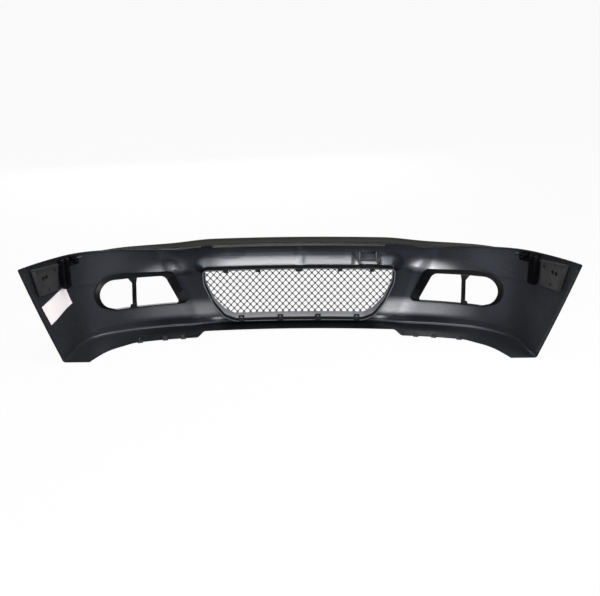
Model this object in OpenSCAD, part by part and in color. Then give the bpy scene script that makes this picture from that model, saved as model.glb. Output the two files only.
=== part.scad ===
// Front bumper cover of a passenger car, with its mesh grille and side ducts.
// Frame: +X to the car's left, -Y forwards, +Z up. Origin under the middle of
// the outside box. The shell is a swept section: s runs along the plan curve
// from the middle (s > 0 on the left), o is the inward offset, z the height.

/* [Plan of the shell] */
// Radius of the crowned front, mm
nose_r = 3170; // [3000:10:3400]
// Turn at the end of the crowned front, degrees
nose_turn = 7.4; // [7.2:0.1:7.6]
// Radius of the shoulder beside the grille, mm
shoulder_r = 1280; // [1200:10:1350]
// Turn at the end of the shoulder, degrees
shoulder_turn = 15.8; // [15.5:0.1:16.1]
// Radius of the front corner, mm
corner_r = 335; // [328:1:342]
// Turn at the end of the front corner, degrees
corner_turn = 63.3; // [62.5:0.1:64]
// Radius of the wing that runs back to the wheel arch, mm
wing_r = 1270; // [1150:10:1400]
// Top front edge at the middle, ahead of the origin, mm
nose_front = 225; // [220:1:230]

/* [Height and section] */
// Wall thickness of the moulding, mm
wall = 3; // [2.6:0.1:3.2]
// Height of the top edge along the front, mm
top_h = 316; // [312:1:320]
// Extra height of the raised middle, mm
top_raise = 10; // [8:1:12]
// Rise of the top edge from the corner to the wing tip, mm
wing_rise = 52; // [46:1:56]
// Forward bulge of the middle of the face, mm
nose_bulge = 20; // [16:1:21]
// Forward bulge of the sides of the face, mm
side_bulge = 6; // [5:1:8]
// Height of the fullest line of the face, mm
belt_h = 225; // [220:1:230]
// Inward lean of the wing's lower edge, mm
wing_lean = 59; // [52:1:62]
// Depth of the top flange at the middle, mm
top_flange = 75; // [70:1:80]
// Depth of the bottom return under the grille, mm
lip_depth = 80; // [74:1:84]
// Depth of the bottom return beside the grille, mm
return_depth = 137; // [130:1:140]
// Depth of the return that stiffens the wheel-arch edge, mm
arch_return = 14; // [10:1:18]

/* [Grille] */
// Half width of the grille collar, mm
collar_hw = 344; // [340:1:348]
// Top of the grille collar, mm
collar_top = 218; // [215:1:221]
// Bottom of the grille collar, mm
collar_bot = 20; // [18:1:22]
// Distance of the collar's rear edge behind the top front edge, mm
collar_back = 37; // [34:1:40]
// Wall of the collar, mm
collar_wall = 3.5; // [3:0.1:4]
// Flare where the collar grows out of the face, mm
collar_flare = 6; // [4:0.5:8]
// Strand pitch of the mesh along its width, mm
mesh_px = 23.5; // [22:0.5:26]
// Strand pitch of the mesh up its height, mm
mesh_pz = 26; // [24:0.5:28]
// Width of a mesh strand, mm
strand_w = 4.2; // [3.6:0.1:4.8]
// Thickness of the mesh, mm
mesh_t = 5; // [4:0.5:6]

/* [Ducts and covers] */
// Depth of the duct surround behind the shell, mm
duct_depth = 38; // [34:1:42]
// Wall of the duct surround, mm
duct_wall = 3; // [2.6:0.1:3.4]
// Width of the towing-eye cover, mm
tow_w = 58; // [54:1:60]
// Height of the towing-eye cover, mm
tow_h = 36; // [32:1:38]

/* [Fixings] */
// Clear hole for the clips along the top flange, mm
clip_hole_d = 8.5; // [8:0.1:9]
// Clear hole for the screws of the side brackets, mm
bracket_hole_d = 6.5; // [6.2:0.1:7]
// Core of the threaded nuts on the bottom return, mm
nut_core_d = 5; // [4.8:0.1:5.2]
// Gap between pieces that fit inside each other, mm
fit_gap = 0.4; // [0.3:0.1:0.6]
// Gap between pieces that lie on each other, mm
seat_gap = 0.1; // [0.05:0.05:0.2]

/* [Hidden] */

// ---- plan curve: four tangent arcs ----
rad = 180/PI;
bend_r = [nose_r, shoulder_r, corner_r, wing_r];
bend_a = [0, nose_turn, shoulder_turn, corner_turn];
run1 = nose_r*nose_turn/rad;
run2 = run1 + shoulder_r*(shoulder_turn - nose_turn)/rad;
run3 = run2 + corner_r*(corner_turn - shoulder_turn)/rad;
bend_s = [0, run1, run2, run3];
function arc_end(p, r, a, b) = p + r*[sin(b) - sin(a), cos(a) - cos(b)];
knee1 = arc_end([0, -nose_front], nose_r, 0, nose_turn);
knee2 = arc_end(knee1, shoulder_r, nose_turn, shoulder_turn);
knee3 = arc_end(knee2, corner_r, shoulder_turn, corner_turn);
bend_p = [[0, -nose_front], knee1, knee2, knee3];
function arc_no(q) = q < run1 ? 0 : q < run2 ? 1 : q < run3 ? 2 : 3;
function turn(q) = let (i = arc_no(q)) bend_a[i] + (q - bend_s[i])/bend_r[i]*rad;
// a point at run s, height z, offset o inwards of the plan curve
function pt(s, z, o) = let (q = abs(s), i = arc_no(q), a = turn(q),
  p = arc_end(bend_p[i], bend_r[i], bend_a[i], a))
  [(s < 0 ? -1 : 1)*(p.x - o*sin(a)), p.y + o*cos(a), z];

// ---- heights and offsets of the section ----
function lerp(a, b, u) = a + (b - a)*u;
function ease(t) = let (c = min(max(t, 0), 1)) c*c*(3 - 2*c);
middle_end = 300;    // run where the raised middle ends
lip_end = 330;       // run where the shallow return under the grille ends
fold_run = 345;      // run of the fold beside the grille at the bottom
fold_slope = 0.33;   // outward slant of that fold
fold_w = 70;         // width of that fold
wing_s = 760;        // run where the wing's lean starts
tip_s = 1125;        // run of the wing tip
function top_z(q) = top_h + top_raise*(1 - ease((q - middle_end)/170))
  + wing_rise*max(q - 700, 0)/(tip_s - 700);
function bot_z(q) = 4*(1 - ease((q - lip_end)/60));
function bulge(q, z) = side_bulge
  + (nose_bulge - side_bulge)*(1 - ease((q - fold_run - fold_slope*z)/fold_w));
foot_in = 9;         // inward set of the lower edge along the front
function face_front(q, z) = let (b = bulge(q, z))
  z > belt_h ? -b*(1 - pow((z - belt_h)/(top_z(q) - belt_h), 2))
  : -b + (b + foot_in)*pow((belt_h - z)/(belt_h - bot_z(q)), 2);
function face_wing(q, z) = let (t = z/top_z(q)) wing_lean*(1 - t) - 28*t*(1 - t);
function face_o(s, z) = let (q = abs(s), w = ease((q - wing_s)/240))
  w == 0 ? face_front(q, z) : (1 - w)*face_front(q, z) + w*face_wing(q, z);
// depth of the top flange: deep on the middle, narrowing to the wing
function flange_d(q) = q < 420
  ? top_flange - 18*ease((q - middle_end - 5)/40)
  : max(57 - 37*(q - 420)/240, 12 + 8*ease((760 - q)/100));
function pad_z(q) = top_z(q) - (2 + 9*ease((760 - q)/400));
// depth of the bottom return
function under_d(q) = lip_depth + (return_depth - lip_depth)*ease((q - 345)/35);
function under_lift(q) = 1 + 4*ease((q - lip_end)/60)*(1 - ease((q - 620)/100));
edge_r = 9;          // radius of the top front edge
foot_r = 14;         // radius between the face and the bottom return
face_n = 11;         // steps up the face

// outside of the section, from the rear edge of the top flange to the rear
// edge of the bottom return; t = 0 gives the outside, t = wall the inside
function pad_o(q) = max(min(30, 0.55*flange_d(q)), edge_r + 1);
function edge_pt(q, a, t) = let (z = top_z(q) - edge_r)
  [face_o(q, z) + edge_r - (edge_r - t)*cos(a), z + (edge_r - t)*sin(a)];
function foot_pt(q, a, t) = let (z = bot_z(q) + foot_r)
  [face_o(q, z) + foot_r - (foot_r - t)*cos(a), z - (foot_r - t)*sin(a)];
function face_z(q, k) = let (a = top_z(q) - edge_r, b = bot_z(q) + foot_r)
  a + (b - a)*k/face_n;
function section(q, t) = concat(
  [[flange_d(q), pad_z(q) - t], [pad_o(q) + 0.4*t, pad_z(q) - t]],
  [let (e = edge_pt(q, 90, t)) [0.5*(e.x + pad_o(q)) + 0.2*t, 0.35*pad_z(q) + 0.65*top_z(q) - t]],
  [for (a = [90, 60, 30]) edge_pt(q, a, t)],
  [for (k = [0:face_n]) let (z = face_z(q, k)) [face_o(q, z) + t, z]],
  [for (a = [30, 60, 90]) foot_pt(q, a, t)],
  let (x = foot_pt(q, 90, t).x) [[lerp(x, under_d(q), 0.3), bot_z(q) + t],
   [lerp(x, under_d(q), 0.62), bot_z(q) + under_lift(q) + t],
   [under_d(q), bot_z(q) + under_lift(q) + t]]);
rows = 6 + face_n + 1 + 6;

// wheel-arch edge: fore-and-aft position at a height
arch_y0 = 136;       // at the lower edge
arch_rake = 0.19;
arch_bend = 0.00029;
function arch_y(z) = arch_y0 + arch_rake*z + arch_bend*z*z;
// run at which a point with this offset and height meets the arch edge
function meet(o, z, a = 700, b = 1300, n = 24) = n == 0 ? (a + b)/2
  : let (m = (a + b)/2) pt(m, z, o).y < arch_y(z) ? meet(o, z, m, b, n - 1)
  : meet(o, z, a, m, n - 1);
function row_end(j, t) = let (r = section(1050, t)[j], e = meet(r.x, r.y),
  r2 = section(e, t)[j], e2 = meet(r2.x, r2.y), r3 = section(e2, t)[j]) meet(r3.x, r3.y);
ends_out = [for (j = [0:rows - 1]) row_end(j, 0)];
ends_in = [for (j = [0:rows - 1]) row_end(j, wall)];
fixed_s = 880;       // stations beyond this run stretch to the arch edge
last_s = 1120;
half_st = concat([for (q = [80:80:320]) q], [for (q = [340:20:460]) q],
  [for (q = [495:35:600]) q], [for (q = [620:20:880]) q], [for (q = [920:40:1120]) q]);
stations = concat([for (i = [len(half_st) - 1:-1:0]) -half_st[i]], [0], half_st);
function st_run(s, e) = let (q = abs(s)) q <= fixed_s ? q
  : fixed_s + (q - fixed_s)*(e - fixed_s)/(last_s - fixed_s);
function shell_pt(s, j, t) = let (q = st_run(s, t == 0 ? ends_out[j] : ends_in[j]),
  r = section(q, t)[j]) pt(s < 0 ? -q : q, r.y, r.x);

// ---- solids from rings and grids of points ----
function flat(l) = [for (a = l) for (b = a) b];
// a closed ring of sections
module ring_loft(secs) {
  n = len(secs); k = len(secs[0]);
  polyhedron(flat(secs), [for (i = [0:n - 1]) for (j = [0:k - 1])
    let (a = i*k + j, b = i*k + (j + 1)%k, c = ((i + 1)%n)*k + j, d = ((i + 1)%n)*k + (j + 1)%k)
    each [[a, c, b], [b, c, d]]]);
}
// a block between two rings, each closed by a fan to its own middle
function mean(l) = let (u = [for (p = l) 1]) (u*l)/len(l);
module ring_plug(r1, r2) {
  k = len(r1);
  polyhedron(concat(r1, r2, [mean(r1), mean(r2)]), [for (j = [0:k - 1]) let (m = (j + 1)%k)
    each [[j, m, k + j], [m, k + m, k + j], [m, j, 2*k], [k + j, k + m, 2*k + 1]]]);
}
// a curved sheet between two grids of points
module sheet(g1, g2) {
  n = len(g1); m = len(g1[0]); N = n*m;
  polyhedron(concat(flat(g1), flat(g2)), concat(
    [for (i = [0:n - 2]) for (j = [0:m - 2]) let (a = i*m + j, b = a + 1, c = a + m, d = c + 1)
      each [[a, b, c], [b, d, c], [N + a, N + c, N + b], [N + b, N + c, N + d]]],
    [for (j = [0:m - 2]) each [[j, N + j, j + 1], [j + 1, N + j, N + j + 1]]],
    [for (j = [0:m - 2]) let (a = (n - 1)*m + j) each [[a, a + 1, N + a], [a + 1, N + a + 1, N + a]]],
    [for (i = [0:n - 2]) let (a = i*m, c = a + m) each [[a, c, N + a], [c, N + c, N + a]]],
    [for (i = [0:n - 2]) let (a = i*m + m - 1, c = a + m) each [[a, N + a, c], [c, N + a, N + c]]]));
}
// grid over a four-cornered patch [s, z], lying t inside of the shell's face
function patch(c, t, ns, nz) = [for (i = [0:ns]) [for (j = [0:nz])
  let (p = lerp(lerp(c[0], c[1], i/ns), lerp(c[3], c[2], i/ns), j/nz))
  pt(p.x, p.y, face_o(p.x, p.y) + t)]];
// corners in either order
function in_order(c) = cross(c[1] - c[0], c[3] - c[0]) > 0 ? c : [c[1], c[0], c[3], c[2]];
module pad(c, t1, t2, ns = 4, nz = 4) {
  sheet(patch(in_order(c), t1, ns, nz), patch(in_order(c), t2, ns, nz));
}
// children stand on the shell's inner face, their +Z pointing inwards
function lean(s, z) = atan((face_o(s, z - 2) - face_o(s, z + 2))/4);
module on_face(s, z, t = 0) {
  translate(pt(s, z, face_o(s, z) + wall)) rotate([0, 0, (s < 0 ? -1 : 1)*turn(abs(s))])
    rotate([lean(s, z) - 90, 0, 0]) translate([0, 0, t]) children();
}
// outline with rounded corners; the same number of points at every corner
function unit(v) = v/norm(v);
function round_corner(a, b, c, r, n) = let (u = unit(a - b), v = unit(c - b),
  h = acos(u*v)/2, d = r/tan(h), m = b + unit(u + v)*r/sin(h),
  p = b + u*d - m, q = b + v*d - m, w = acos(min(1, (p*q)/(r*r))))
  [for (i = [0:n]) m + (sin(w*(1 - i/n))*p + sin(w*i/n)*q)/sin(w)];
function round_loop(l, rs, n) = let (k = len(l)) [for (i = [0:k - 1])
  each round_corner(l[(i + k - 1)%k], l[i], l[(i + 1)%k], rs[i], n)];
// extra points along each straight side so that a ring can follow a curve
function fill(l, step) = let (k = len(l)) [for (i = [0:k - 1]) let (a = l[i], b = l[(i + 1)%k],
  c = max(1, ceil(norm(b - a)/step))) for (j = [0:c - 1]) lerp(a, b, j/c)];

// ---- grille outlines ([x, z], seen from behind, counter-clockwise) ----
corner_n = 3;
function mirrored(h) = concat([for (p = h) p], [for (i = [len(h) - 1:-1:0]) [-h[i].x, h[i].y]]);
// half outline from the middle's left end, anticlockwise; the rest is its mirror image
function whole(h, r) = round_loop(mirrored(h), concat(r, [for (i = [len(r) - 1:-1:0]) r[i]]), corner_n);
collar_out = whole([[collar_hw - 112, collar_bot], [collar_hw - 72, collar_bot + 18],
  [collar_hw - 35, collar_bot + 69], [collar_hw - 3, collar_top - 53], [collar_hw, collar_top]],
  [60, 50, 120, 60, 14]);
mesh_hw = collar_hw - 9;     // half width of the mesh at its top
mesh_top = collar_top - 12;
mesh_bot = collar_bot + 24;  // the funnel is widest along the bottom
mesh_loop = whole([[mesh_hw - 100, mesh_bot], [mesh_hw - 66, mesh_bot + 18],
  [mesh_hw - 28, mesh_bot + 63], [mesh_hw - 1.5, mesh_top - 36], [mesh_hw, mesh_top]],
  [30, 50, 100, 60, 6]);
function shrink(l, d) = let(k = len(l)) [for (i = [0:k - 1]) let (
  u = unit(l[(i + 1)%k] - l[i]), v = unit(l[i] - l[(i + k - 1)%k]), w = unit(u + v)) l[i] + d*[w.y, -w.x]];
// fore-and-aft place of the crowned front at x, moved back by b
function crown_y(x, b) = -nose_front + nose_r - sqrt(nose_r*nose_r - x*x) + b;
collar_in = shrink(collar_out, -collar_wall);
collar_core = shrink(collar_out, -collar_wall - 1);  // cut back to collar_in
frame_out = shrink(collar_out, -collar_wall - fit_gap);
frame_in = shrink(collar_out, -collar_wall - fit_gap - 2.5);
mesh_back = 5;       // rear of the frame's front plate, behind the top front edge
front_t = 3;         // thickness of the frame's front plate
// subdivide two outlines together so that their points stay paired
function pair_fill(a, b, step) = let (k = len(a)) [for (i = [0:k - 1]) let (j = (i + 1)%k,
  c = max(1, ceil(norm(a[j] - a[i])/step))) for (m = [0:c - 1])
  [lerp(a[i], a[j], m/c), lerp(b[i], b[j], m/c)]];
module bar_loop(l, y1, y2) { rotate([90, 0, 0]) translate([0, 0, -y2]) linear_extrude(y2 - y1) polygon(l); }

// ---- duct outlines ([s, z]) ----
bezel_loop = round_loop([[400, 90], [452, 213], [625, 216], [706, 211], [743, 160], [723, 109],
  [664, 87]], [12, 22, 200, 40, 34, 40, 60], corner_n);
hole_loop = round_loop([[432, 96], [483, 206], [625, 208], [694, 205], [727, 160], [709, 111],
  [660, 92]], [9, 14, 200, 36, 30, 36, 60], corner_n);
// how far behind the shell the duct's rear rim stands: deep inboard, shallow outboard
function rim_o(p) = wall + 8 + (duct_depth - 8)*ease((750 - p.x)/130)*(0.35 + 0.65*ease((p.y - 95)/110));
function duct_ring(l, o) = [for (p = l) pt(p.x, p.y, face_o(p.x, p.y) + o)];

// ---- pieces ----
tow_s = -248;        // middle of the towing-eye cover
tow_z = 248;
function box4(s, z, w, h) = [[s - w/2, z - h/2], [s + w/2, z - h/2], [s + w/2, z + h/2], [s - w/2, z + h/2]];

module shell_body() {
  n = len(stations); k = 2*rows;
  pts = [for (s = stations) each concat([for (j = [0:rows - 1]) shell_pt(s, j, 0)],
    [for (j = [rows - 1:-1:0]) shell_pt(s, j, wall)])];
  polyhedron(pts, concat(
    [for (i = [0:n - 2]) for (j = [0:k - 1]) let (a = i*k + j, b = i*k + (j + 1)%k, c = a + k, d = b + k)
      each [[a, c, b], [b, c, d]]],
    [for (j = [0:rows - 2]) let (a = j, b = j + 1, c = k - 2 - j, d = k - 1 - j) each [[a, b, d], [b, c, d]]],
    [for (j = [0:rows - 2]) let (e = (n - 1)*k, a = e + j, b = e + j + 1, c = e + k - 2 - j, d = e + k - 1 - j)
      each [[a, d, b], [b, d, c]]]));
}
// return that stiffens the wheel-arch edge
module arch_lip() {
  ring = [for (k = [1:face_n - 1]) let (z = face_z(1080, k), e = meet(face_o(1080, z), z),
    o = face_o(e, z)) [pt(e - 4, z, o + 1.2), pt(e - 1, z, o + 1.2), pt(e - 1, z, o + arch_return),
    pt(e - 4, z, o + arch_return)]];
  sheet([for (r = ring) [r[0], r[1]]], [for (r = ring) [r[3], r[2]]]);
}
module both() { children(); mirror([1, 0, 0]) children(); }
// bosses for the bracket screws, [s, z]
bracket_bosses = [[1040, 326], [935, 304], [985, 256]];
rail_bosses = [[887, 252], [887, 324]];
lamp_bosses = [[814, 305], [842, 316]];
boss_h = 8;
boss_d = 10;
screw_d = 4;
all_bosses = concat(bracket_bosses, rail_bosses, lamp_bosses);
stand_gap = 0.5;
stand_t = wall + boss_h + stand_gap;   // underside of what stands on the bosses
plate_t = 2.5;
nut_runs = [430, 500, 600];      // runs of the nuts on the bottom return
nut_set = 12;                    // nut axis ahead of the return's rear edge
module at_nut(s) { translate(pt(s, bot_z(s) + under_lift(s), under_d(s))) rotate([0, 0, turn(s)]) children(); }
plate_hole = [-357, 241];        // small hole beside the towing-eye cover
clip_x = [-240, -80, 80, 240];   // clip holes along the top flange

module bumper_skin() {
  color([0.07, 0.07, 0.08]) difference() {
    union() {
      shell_body();
      both() arch_lip();
      both() for (b = all_bosses) on_face(b[0], b[1], -wall/2) cylinder(d = boss_d, h = boss_h + wall/2);
      root = pair_fill(collar_out, shrink(collar_out, collar_flare), 60);
      core = pair_fill(collar_out, collar_core, 60);
      ring_loft([for (i = [0:len(core) - 1]) let (p = core[i][0], q = core[i][1], r = root[i][1])
        [[p.x, crown_y(p.x, collar_back), p.y], [q.x, crown_y(q.x, collar_back), q.y],
         [q.x, crown_y(q.x, face_o(q.x, q.y) + wall/2), q.y],
         [r.x, crown_y(r.x, face_o(r.x, r.y) + wall/2), r.y],
         [p.x, crown_y(p.x, face_o(p.x, p.y) + wall + collar_flare), p.y]]]);
    }
    bar_loop(collar_in, -300, -100);
    both() ring_plug(duct_ring(fill(bezel_loop, 45), wall + 12), duct_ring(fill(bezel_loop, 45), -90));
    pad(box4(tow_s, tow_z, tow_w + 2*fit_gap, tow_h + 2*fit_gap), -10, wall + 10, 3, 3);
    for (x = clip_x) translate([x, -nose_front + 52, 300]) cylinder(d = clip_hole_d, h = 40);
    both() translate([middle_end + 22, -nose_front + 88, 320]) cube([40, 60, 80], center = true);
    both() for (b = all_bosses) on_face(b[0], b[1], 1) cylinder(d = screw_d + 0.2, h = boss_h + 1);
    both() for (s = nut_runs) at_nut(s) translate([0, -nut_set, -10]) cylinder(d = 7, h = 30);
    on_face(plate_hole[0], plate_hole[1], -10) cylinder(d = 5, h = 20);
  }
}

// Insert that funnels the grille opening down to the mesh: a thin V of plastic.
module grille_frame() {
  a = pair_fill(frame_out, mesh_loop, 60);
  b = pair_fill(frame_out, frame_in, 60);
  rear = collar_back - 0.5;
  mid = mesh_back + front_t;
  color([0.3, 0.3, 0.33]) ring_loft([for (i = [0:len(a) - 1]) let (g = a[i][0], m = a[i][1], r = b[i][1],
    w = lerp(m, g, min(0.6, 4/norm(g - m))))
    [[g.x, crown_y(g.x, rear), g.y], [r.x, crown_y(r.x, rear), r.y], [m.x, crown_y(m.x, mid), m.y],
     [m.x, crown_y(m.x, mesh_back), m.y], [g.x, crown_y(g.x, mesh_back), g.y], [g.x, crown_y(g.x, mid), g.y],
     [w.x, crown_y(w.x, mid), w.y], [g.x, crown_y(g.x, rear - 3), g.y]]]);
}

// Diamond mesh: holes are clipped by the frame's edge, so every strand ends in it.
hole_a = mesh_px/2 - strand_w/2*sqrt(1 + pow(mesh_px/mesh_pz, 2));
hole_b = mesh_pz/2 - strand_w/2*sqrt(1 + pow(mesh_pz/mesh_px, 2));
mesh_edge = 6;       // width of the mesh's own border, less where the frame is near
mesh_room = shrink(collar_out, -collar_wall - fit_gap - 0.4);
mesh_rim = [for (i = [0:len(mesh_loop) - 1]) let (m = mesh_loop[i], g = mesh_room[i])
  lerp(m, g, min(1, mesh_edge/norm(g - m)))];
function side(p, a, b) = (b.x - a.x)*(p.y - a.y) - (b.y - a.y)*(p.x - a.x);
function cut_line(l, a, b) = let (k = len(l)) [for (i = [0:k - 1])
  let (p = l[i], q = l[(i + 1)%k], u = side(p, a, b), v = side(q, a, b))
  each concat(u >= 0 ? [p] : [], u*v < 0 ? [p + (q - p)*u/(u - v)] : [])];
function clip_loop(l, c, i = 0) = i == len(c) || len(l) < 3 ? l
  : clip_loop(cut_line(l, c[i], c[(i + 1)%len(c)]), c, i + 1);
function area(l) = let (k = len(l)) k < 3 ? 0
  : abs([for (i = [0:k - 1]) l[i].x*l[(i + 1)%k].y - l[(i + 1)%k].x*l[i].y]*[for (i = [0:k - 1]) 1])/2;
rows_n = ceil((mesh_top - mesh_bot)/mesh_pz) + 1;
cols_n = ceil(mesh_hw/mesh_px) + 1;
mesh_zc = (mesh_top + mesh_bot)/2;
diamonds = [for (h = [0, 0.5]) for (j = [-rows_n:rows_n]) for (i = [-cols_n:cols_n])
  let (c = [(i + h)*mesh_px, mesh_zc + (j + h)*mesh_pz])
  if (abs(c.x) < mesh_hw + mesh_px && c.y > mesh_bot - mesh_pz && c.y < mesh_top + mesh_pz)
  let (l = clip_loop([[c.x + hole_a, c.y], [c.x, c.y + hole_b], [c.x - hole_a, c.y], [c.x, c.y - hole_b]], mesh_loop))
  if (area(l) > 30) l];
module grille_mesh() {
  r = nose_r;
  color([0.12, 0.12, 0.13]) difference() {
    intersection() {
      translate([0, -nose_front + r + mesh_back - seat_gap, 0]) rotate([0, 0, -90 - 8])
        rotate_extrude(angle = 16, $fn = 720) translate([r, 0]) square([mesh_t, 260]);
      bar_loop(mesh_rim, -300, -100);
    }
    for (l = diamonds) bar_loop(l, -260, -150);
  }
}

// Clips that hold the insert to the collar: a bent strip over the two edges.
module on_crown(x) { translate([x, crown_y(x, collar_back), 0]) rotate([0, 0, asin(x/nose_r)]) children(); }
module strip(l, w) { translate([-w/2, 0, 0]) rotate([90, 0, 90]) linear_extrude(w) polygon(l); }
clip_t = 2;
clip_gap = 0.3;
top_clips = [collar_hw - 84, 146];       // from the middle; one more sits at the middle
bottom_clips = [collar_hw - 136, 68];
function pairs(l) = [for (x = l) each [-x, x]];
module grille_top_clips() {
  low = collar_top - collar_wall - fit_gap - 2.5 - 2.9;
  color([0.05, 0.05, 0.05]) for (x = concat(pairs(top_clips), [0])) on_crown(x)
    strip([[-12, collar_top + 0.2 + clip_t], [clip_gap + clip_t, collar_top + 0.2 + clip_t],
      [clip_gap + clip_t, low - clip_t], [-12, low - clip_t], [-12, low], [clip_gap, low],
      [clip_gap, collar_top + 0.2], [-12, collar_top + 0.2]], x == 0 ? 24 : 17);
}
module grille_bottom_clips() {
  z0 = collar_bot + collar_wall + fit_gap + 2.5;
  k = (mesh_bot - z0)/(collar_back - 0.5 - mesh_back - front_t);
  function ramp(y, up) = [y, z0 - (y + 0.5)*k + 0.3 + up*clip_t*sqrt(1 + k*k)];
  color([0.05, 0.05, 0.05]) for (x = pairs(bottom_clips)) on_crown(x) difference() {
    strip([[clip_gap + clip_t, collar_bot - 0.2 - clip_t], ramp(clip_gap + clip_t, 1), ramp(-16, 1), ramp(-17, 0),
      ramp(clip_gap, 0), [clip_gap, collar_bot - 0.2], [-12, collar_bot - 0.2], [-12, collar_bot - 0.2 - clip_t]], 20);
    translate([0, -8, collar_bot + 4]) cylinder(d = 9, h = 30);
  }
}

// Duct surround: a funnel from the shell's opening back to the rear rim.
seat_off = wall + 0.35;
module left_duct_bezel() {
  f = pair_fill(bezel_loop, hole_loop, 18);
  outer = [for (p = f) p[0]];
  hole = [for (p = f) p[1]];
  body = shrink(outer, fit_gap);
  mouth = shrink(outer, fit_gap + duct_wall);
  lip = shrink(outer, -3);
  rim = shrink(hole, -duct_wall);
  function at(p, o) = pt(p.x, p.y, face_o(p.x, p.y) + o);
  color([0.03, 0.03, 0.035]) ring_loft([for (i = [0:len(f) - 1]) let (h = hole[i], r = rim_o(h))
    [at(mouth[i], 1), at(h, r), at(rim[i], r), at(body[i], seat_off + 2),
     at(lip[i], seat_off + 2), at(lip[i], seat_off), at(body[i], seat_off), at(body[i], 1)]]);
}
module right_duct_bezel() { mirror([1, 0, 0]) left_duct_bezel(); }
// Upright bar across the duct, hooked over the rim at both ends.
div_s = 594;
div_w = 15;
module rim_sheet(c, d1, d2, ns, nz) {
  function g(d) = [for (i = [0:ns]) [for (j = [0:nz])
    let (p = lerp(lerp(c[0], c[1], i/ns), lerp(c[3], c[2], i/ns), j/nz)) pt(p.x, p.y, face_o(p.x, p.y) + rim_o(p) + d)]];
  sheet(g(d1), g(d2));
}
module left_duct_divider() {
  top = 207 - 0.6;
  low = 93.5 + 0.6;
  color([0.02, 0.02, 0.02]) union() {
    rim_sheet([[div_s - div_w/2, low], [div_s + div_w/2, low], [div_s + div_w/2, top], [div_s - div_w/2, top]],
      -8, 0.35, 2, 6);
    rim_sheet([[div_s - div_w/2, low - 3], [div_s + 20, low - 3], [div_s + 16, low + 12], [div_s - div_w/2, low + 18]],
      0.3, 3, 2, 2);
    rim_sheet([[div_s - div_w/2, top - 16], [div_s + div_w/2 + 2, top - 16], [div_s + 24, top + 3], [div_s - 11, top + 3]],
      0.3, 3, 2, 2);
  }
}
module right_duct_divider() { mirror([1, 0, 0]) left_duct_divider(); }

// Plate that carries the wing's upper edge on the fender.
module left_side_bracket() {
  c = [[1066, 347], [1044, 250], [926, 236], [911, 322]];
  color([0.14, 0.14, 0.15]) difference() {
    union() {
      pad([c[0], c[1], c[2], c[3]], stand_t, stand_t + plate_t, 6, 8);
      pad([[1064, 340], [1044, 254], [1041, 254], [1061, 340]], stand_t + plate_t - 1, stand_t + 16, 6, 2);
      pad([[1060, 345], [1060, 342], [916, 318.5], [916, 321.5]], stand_t + plate_t - 1, stand_t + 12, 2, 8);
    }
    for (b = bracket_bosses) on_face(b[0], b[1], -5) cylinder(d = screw_d + 0.6, h = 60);
    for (s = [987, 1006]) on_face(s, 298, -5) cylinder(d = bracket_hole_d, h = 60);
  }
}
module right_side_bracket() { mirror([1, 0, 0]) left_side_bracket(); }
// height of what stands just under the top flange
flange_room = 9;
function under_top(s) = top_z(s) - flange_room;
// Slotted guide beside the bracket.
module left_bracket_rail() {
  color([0.03, 0.03, 0.03]) difference() {
    pad([[905, under_top(905)], [905, 232], [869, 232], [869, under_top(869)]], stand_t, stand_t + 20, 4, 2);
    pad([[899, 346], [899, 240], [875, 240], [875, 346]], stand_t + plate_t, stand_t + 30, 4, 2);
    for (b = rail_bosses) on_face(b[0], b[1], -5) cylinder(d = screw_d + 0.6, h = 60);
  }
}
module right_bracket_rail() { mirror([1, 0, 0]) left_bracket_rail(); }
// Small bracket for the lamp's lower corner.
module left_lamp_bracket() {
  color([0.05, 0.05, 0.05]) difference() {
    union() {
      pad([[852, under_top(852)], [852, 294], [802, 292], [802, under_top(802)]], stand_t, stand_t + plate_t, 2, 4);
      pad([[852, under_top(852)], [852, under_top(852) - 3], [802, under_top(802) - 3], [802, under_top(802)]],
        stand_t + plate_t - 1, stand_t + 26, 1, 4);
    }
    for (b = lamp_bosses) on_face(b[0], b[1], -5) cylinder(d = screw_d + 0.6, h = 60);
  }
}
module right_lamp_bracket() { mirror([1, 0, 0]) left_lamp_bracket(); }
module left_bracket_screws() {
  seat = boss_h + stand_gap + plate_t + fit_gap;
  color([0.45, 0.45, 0.47]) for (b = all_bosses) on_face(b[0], b[1]) {
    translate([0, 0, 2]) cylinder(d = screw_d, h = seat);
    translate([0, 0, seat]) cylinder(d = 8.5, h = 2.6);
  }
}
module right_bracket_screws() { mirror([1, 0, 0]) left_bracket_screws(); }

// Spring nuts pushed onto the rear edge of the bottom return.
nut_barrel = 7;
module left_undertray_nuts() {
  g = 0.35;
  t = 1.8;
  color([0.5, 0.5, 0.52]) for (s = nut_runs) at_nut(s) difference() {
    union() {
      strip([[g + t, -g - t], [g + t, wall + g + t], [-22, wall + g + t], [-22, wall + g], [g, wall + g],
        [g, -g], [-22, -g], [-22, -g - t]], 18);
      translate([0, -nut_set, wall + g + 0.5]) cylinder(d = 10, h = nut_barrel);
    }
    translate([0, -nut_set, wall]) cylinder(d = nut_core_d, h = 20);
    translate([0, -nut_set, -g - t - 1]) cylinder(d = 7, h = wall + 1);
  }
}
module right_undertray_nuts() { mirror([1, 0, 0]) left_undertray_nuts(); }

// Cover over the towing eye: pulls out forwards.
module tow_eye_cover() {
  color([0.09, 0.09, 0.1]) union() {
    pad(box4(tow_s, tow_z, tow_w, tow_h), 0, wall, 3, 3);
    difference() {
      pad(box4(tow_s, tow_z, tow_w - 6, tow_h - 6), wall - 1, wall + 7, 3, 3);
      pad(box4(tow_s, tow_z, tow_w - 10, tow_h - 10), wall - 0.5, wall + 9, 3, 3);
    }
  }
}

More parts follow.
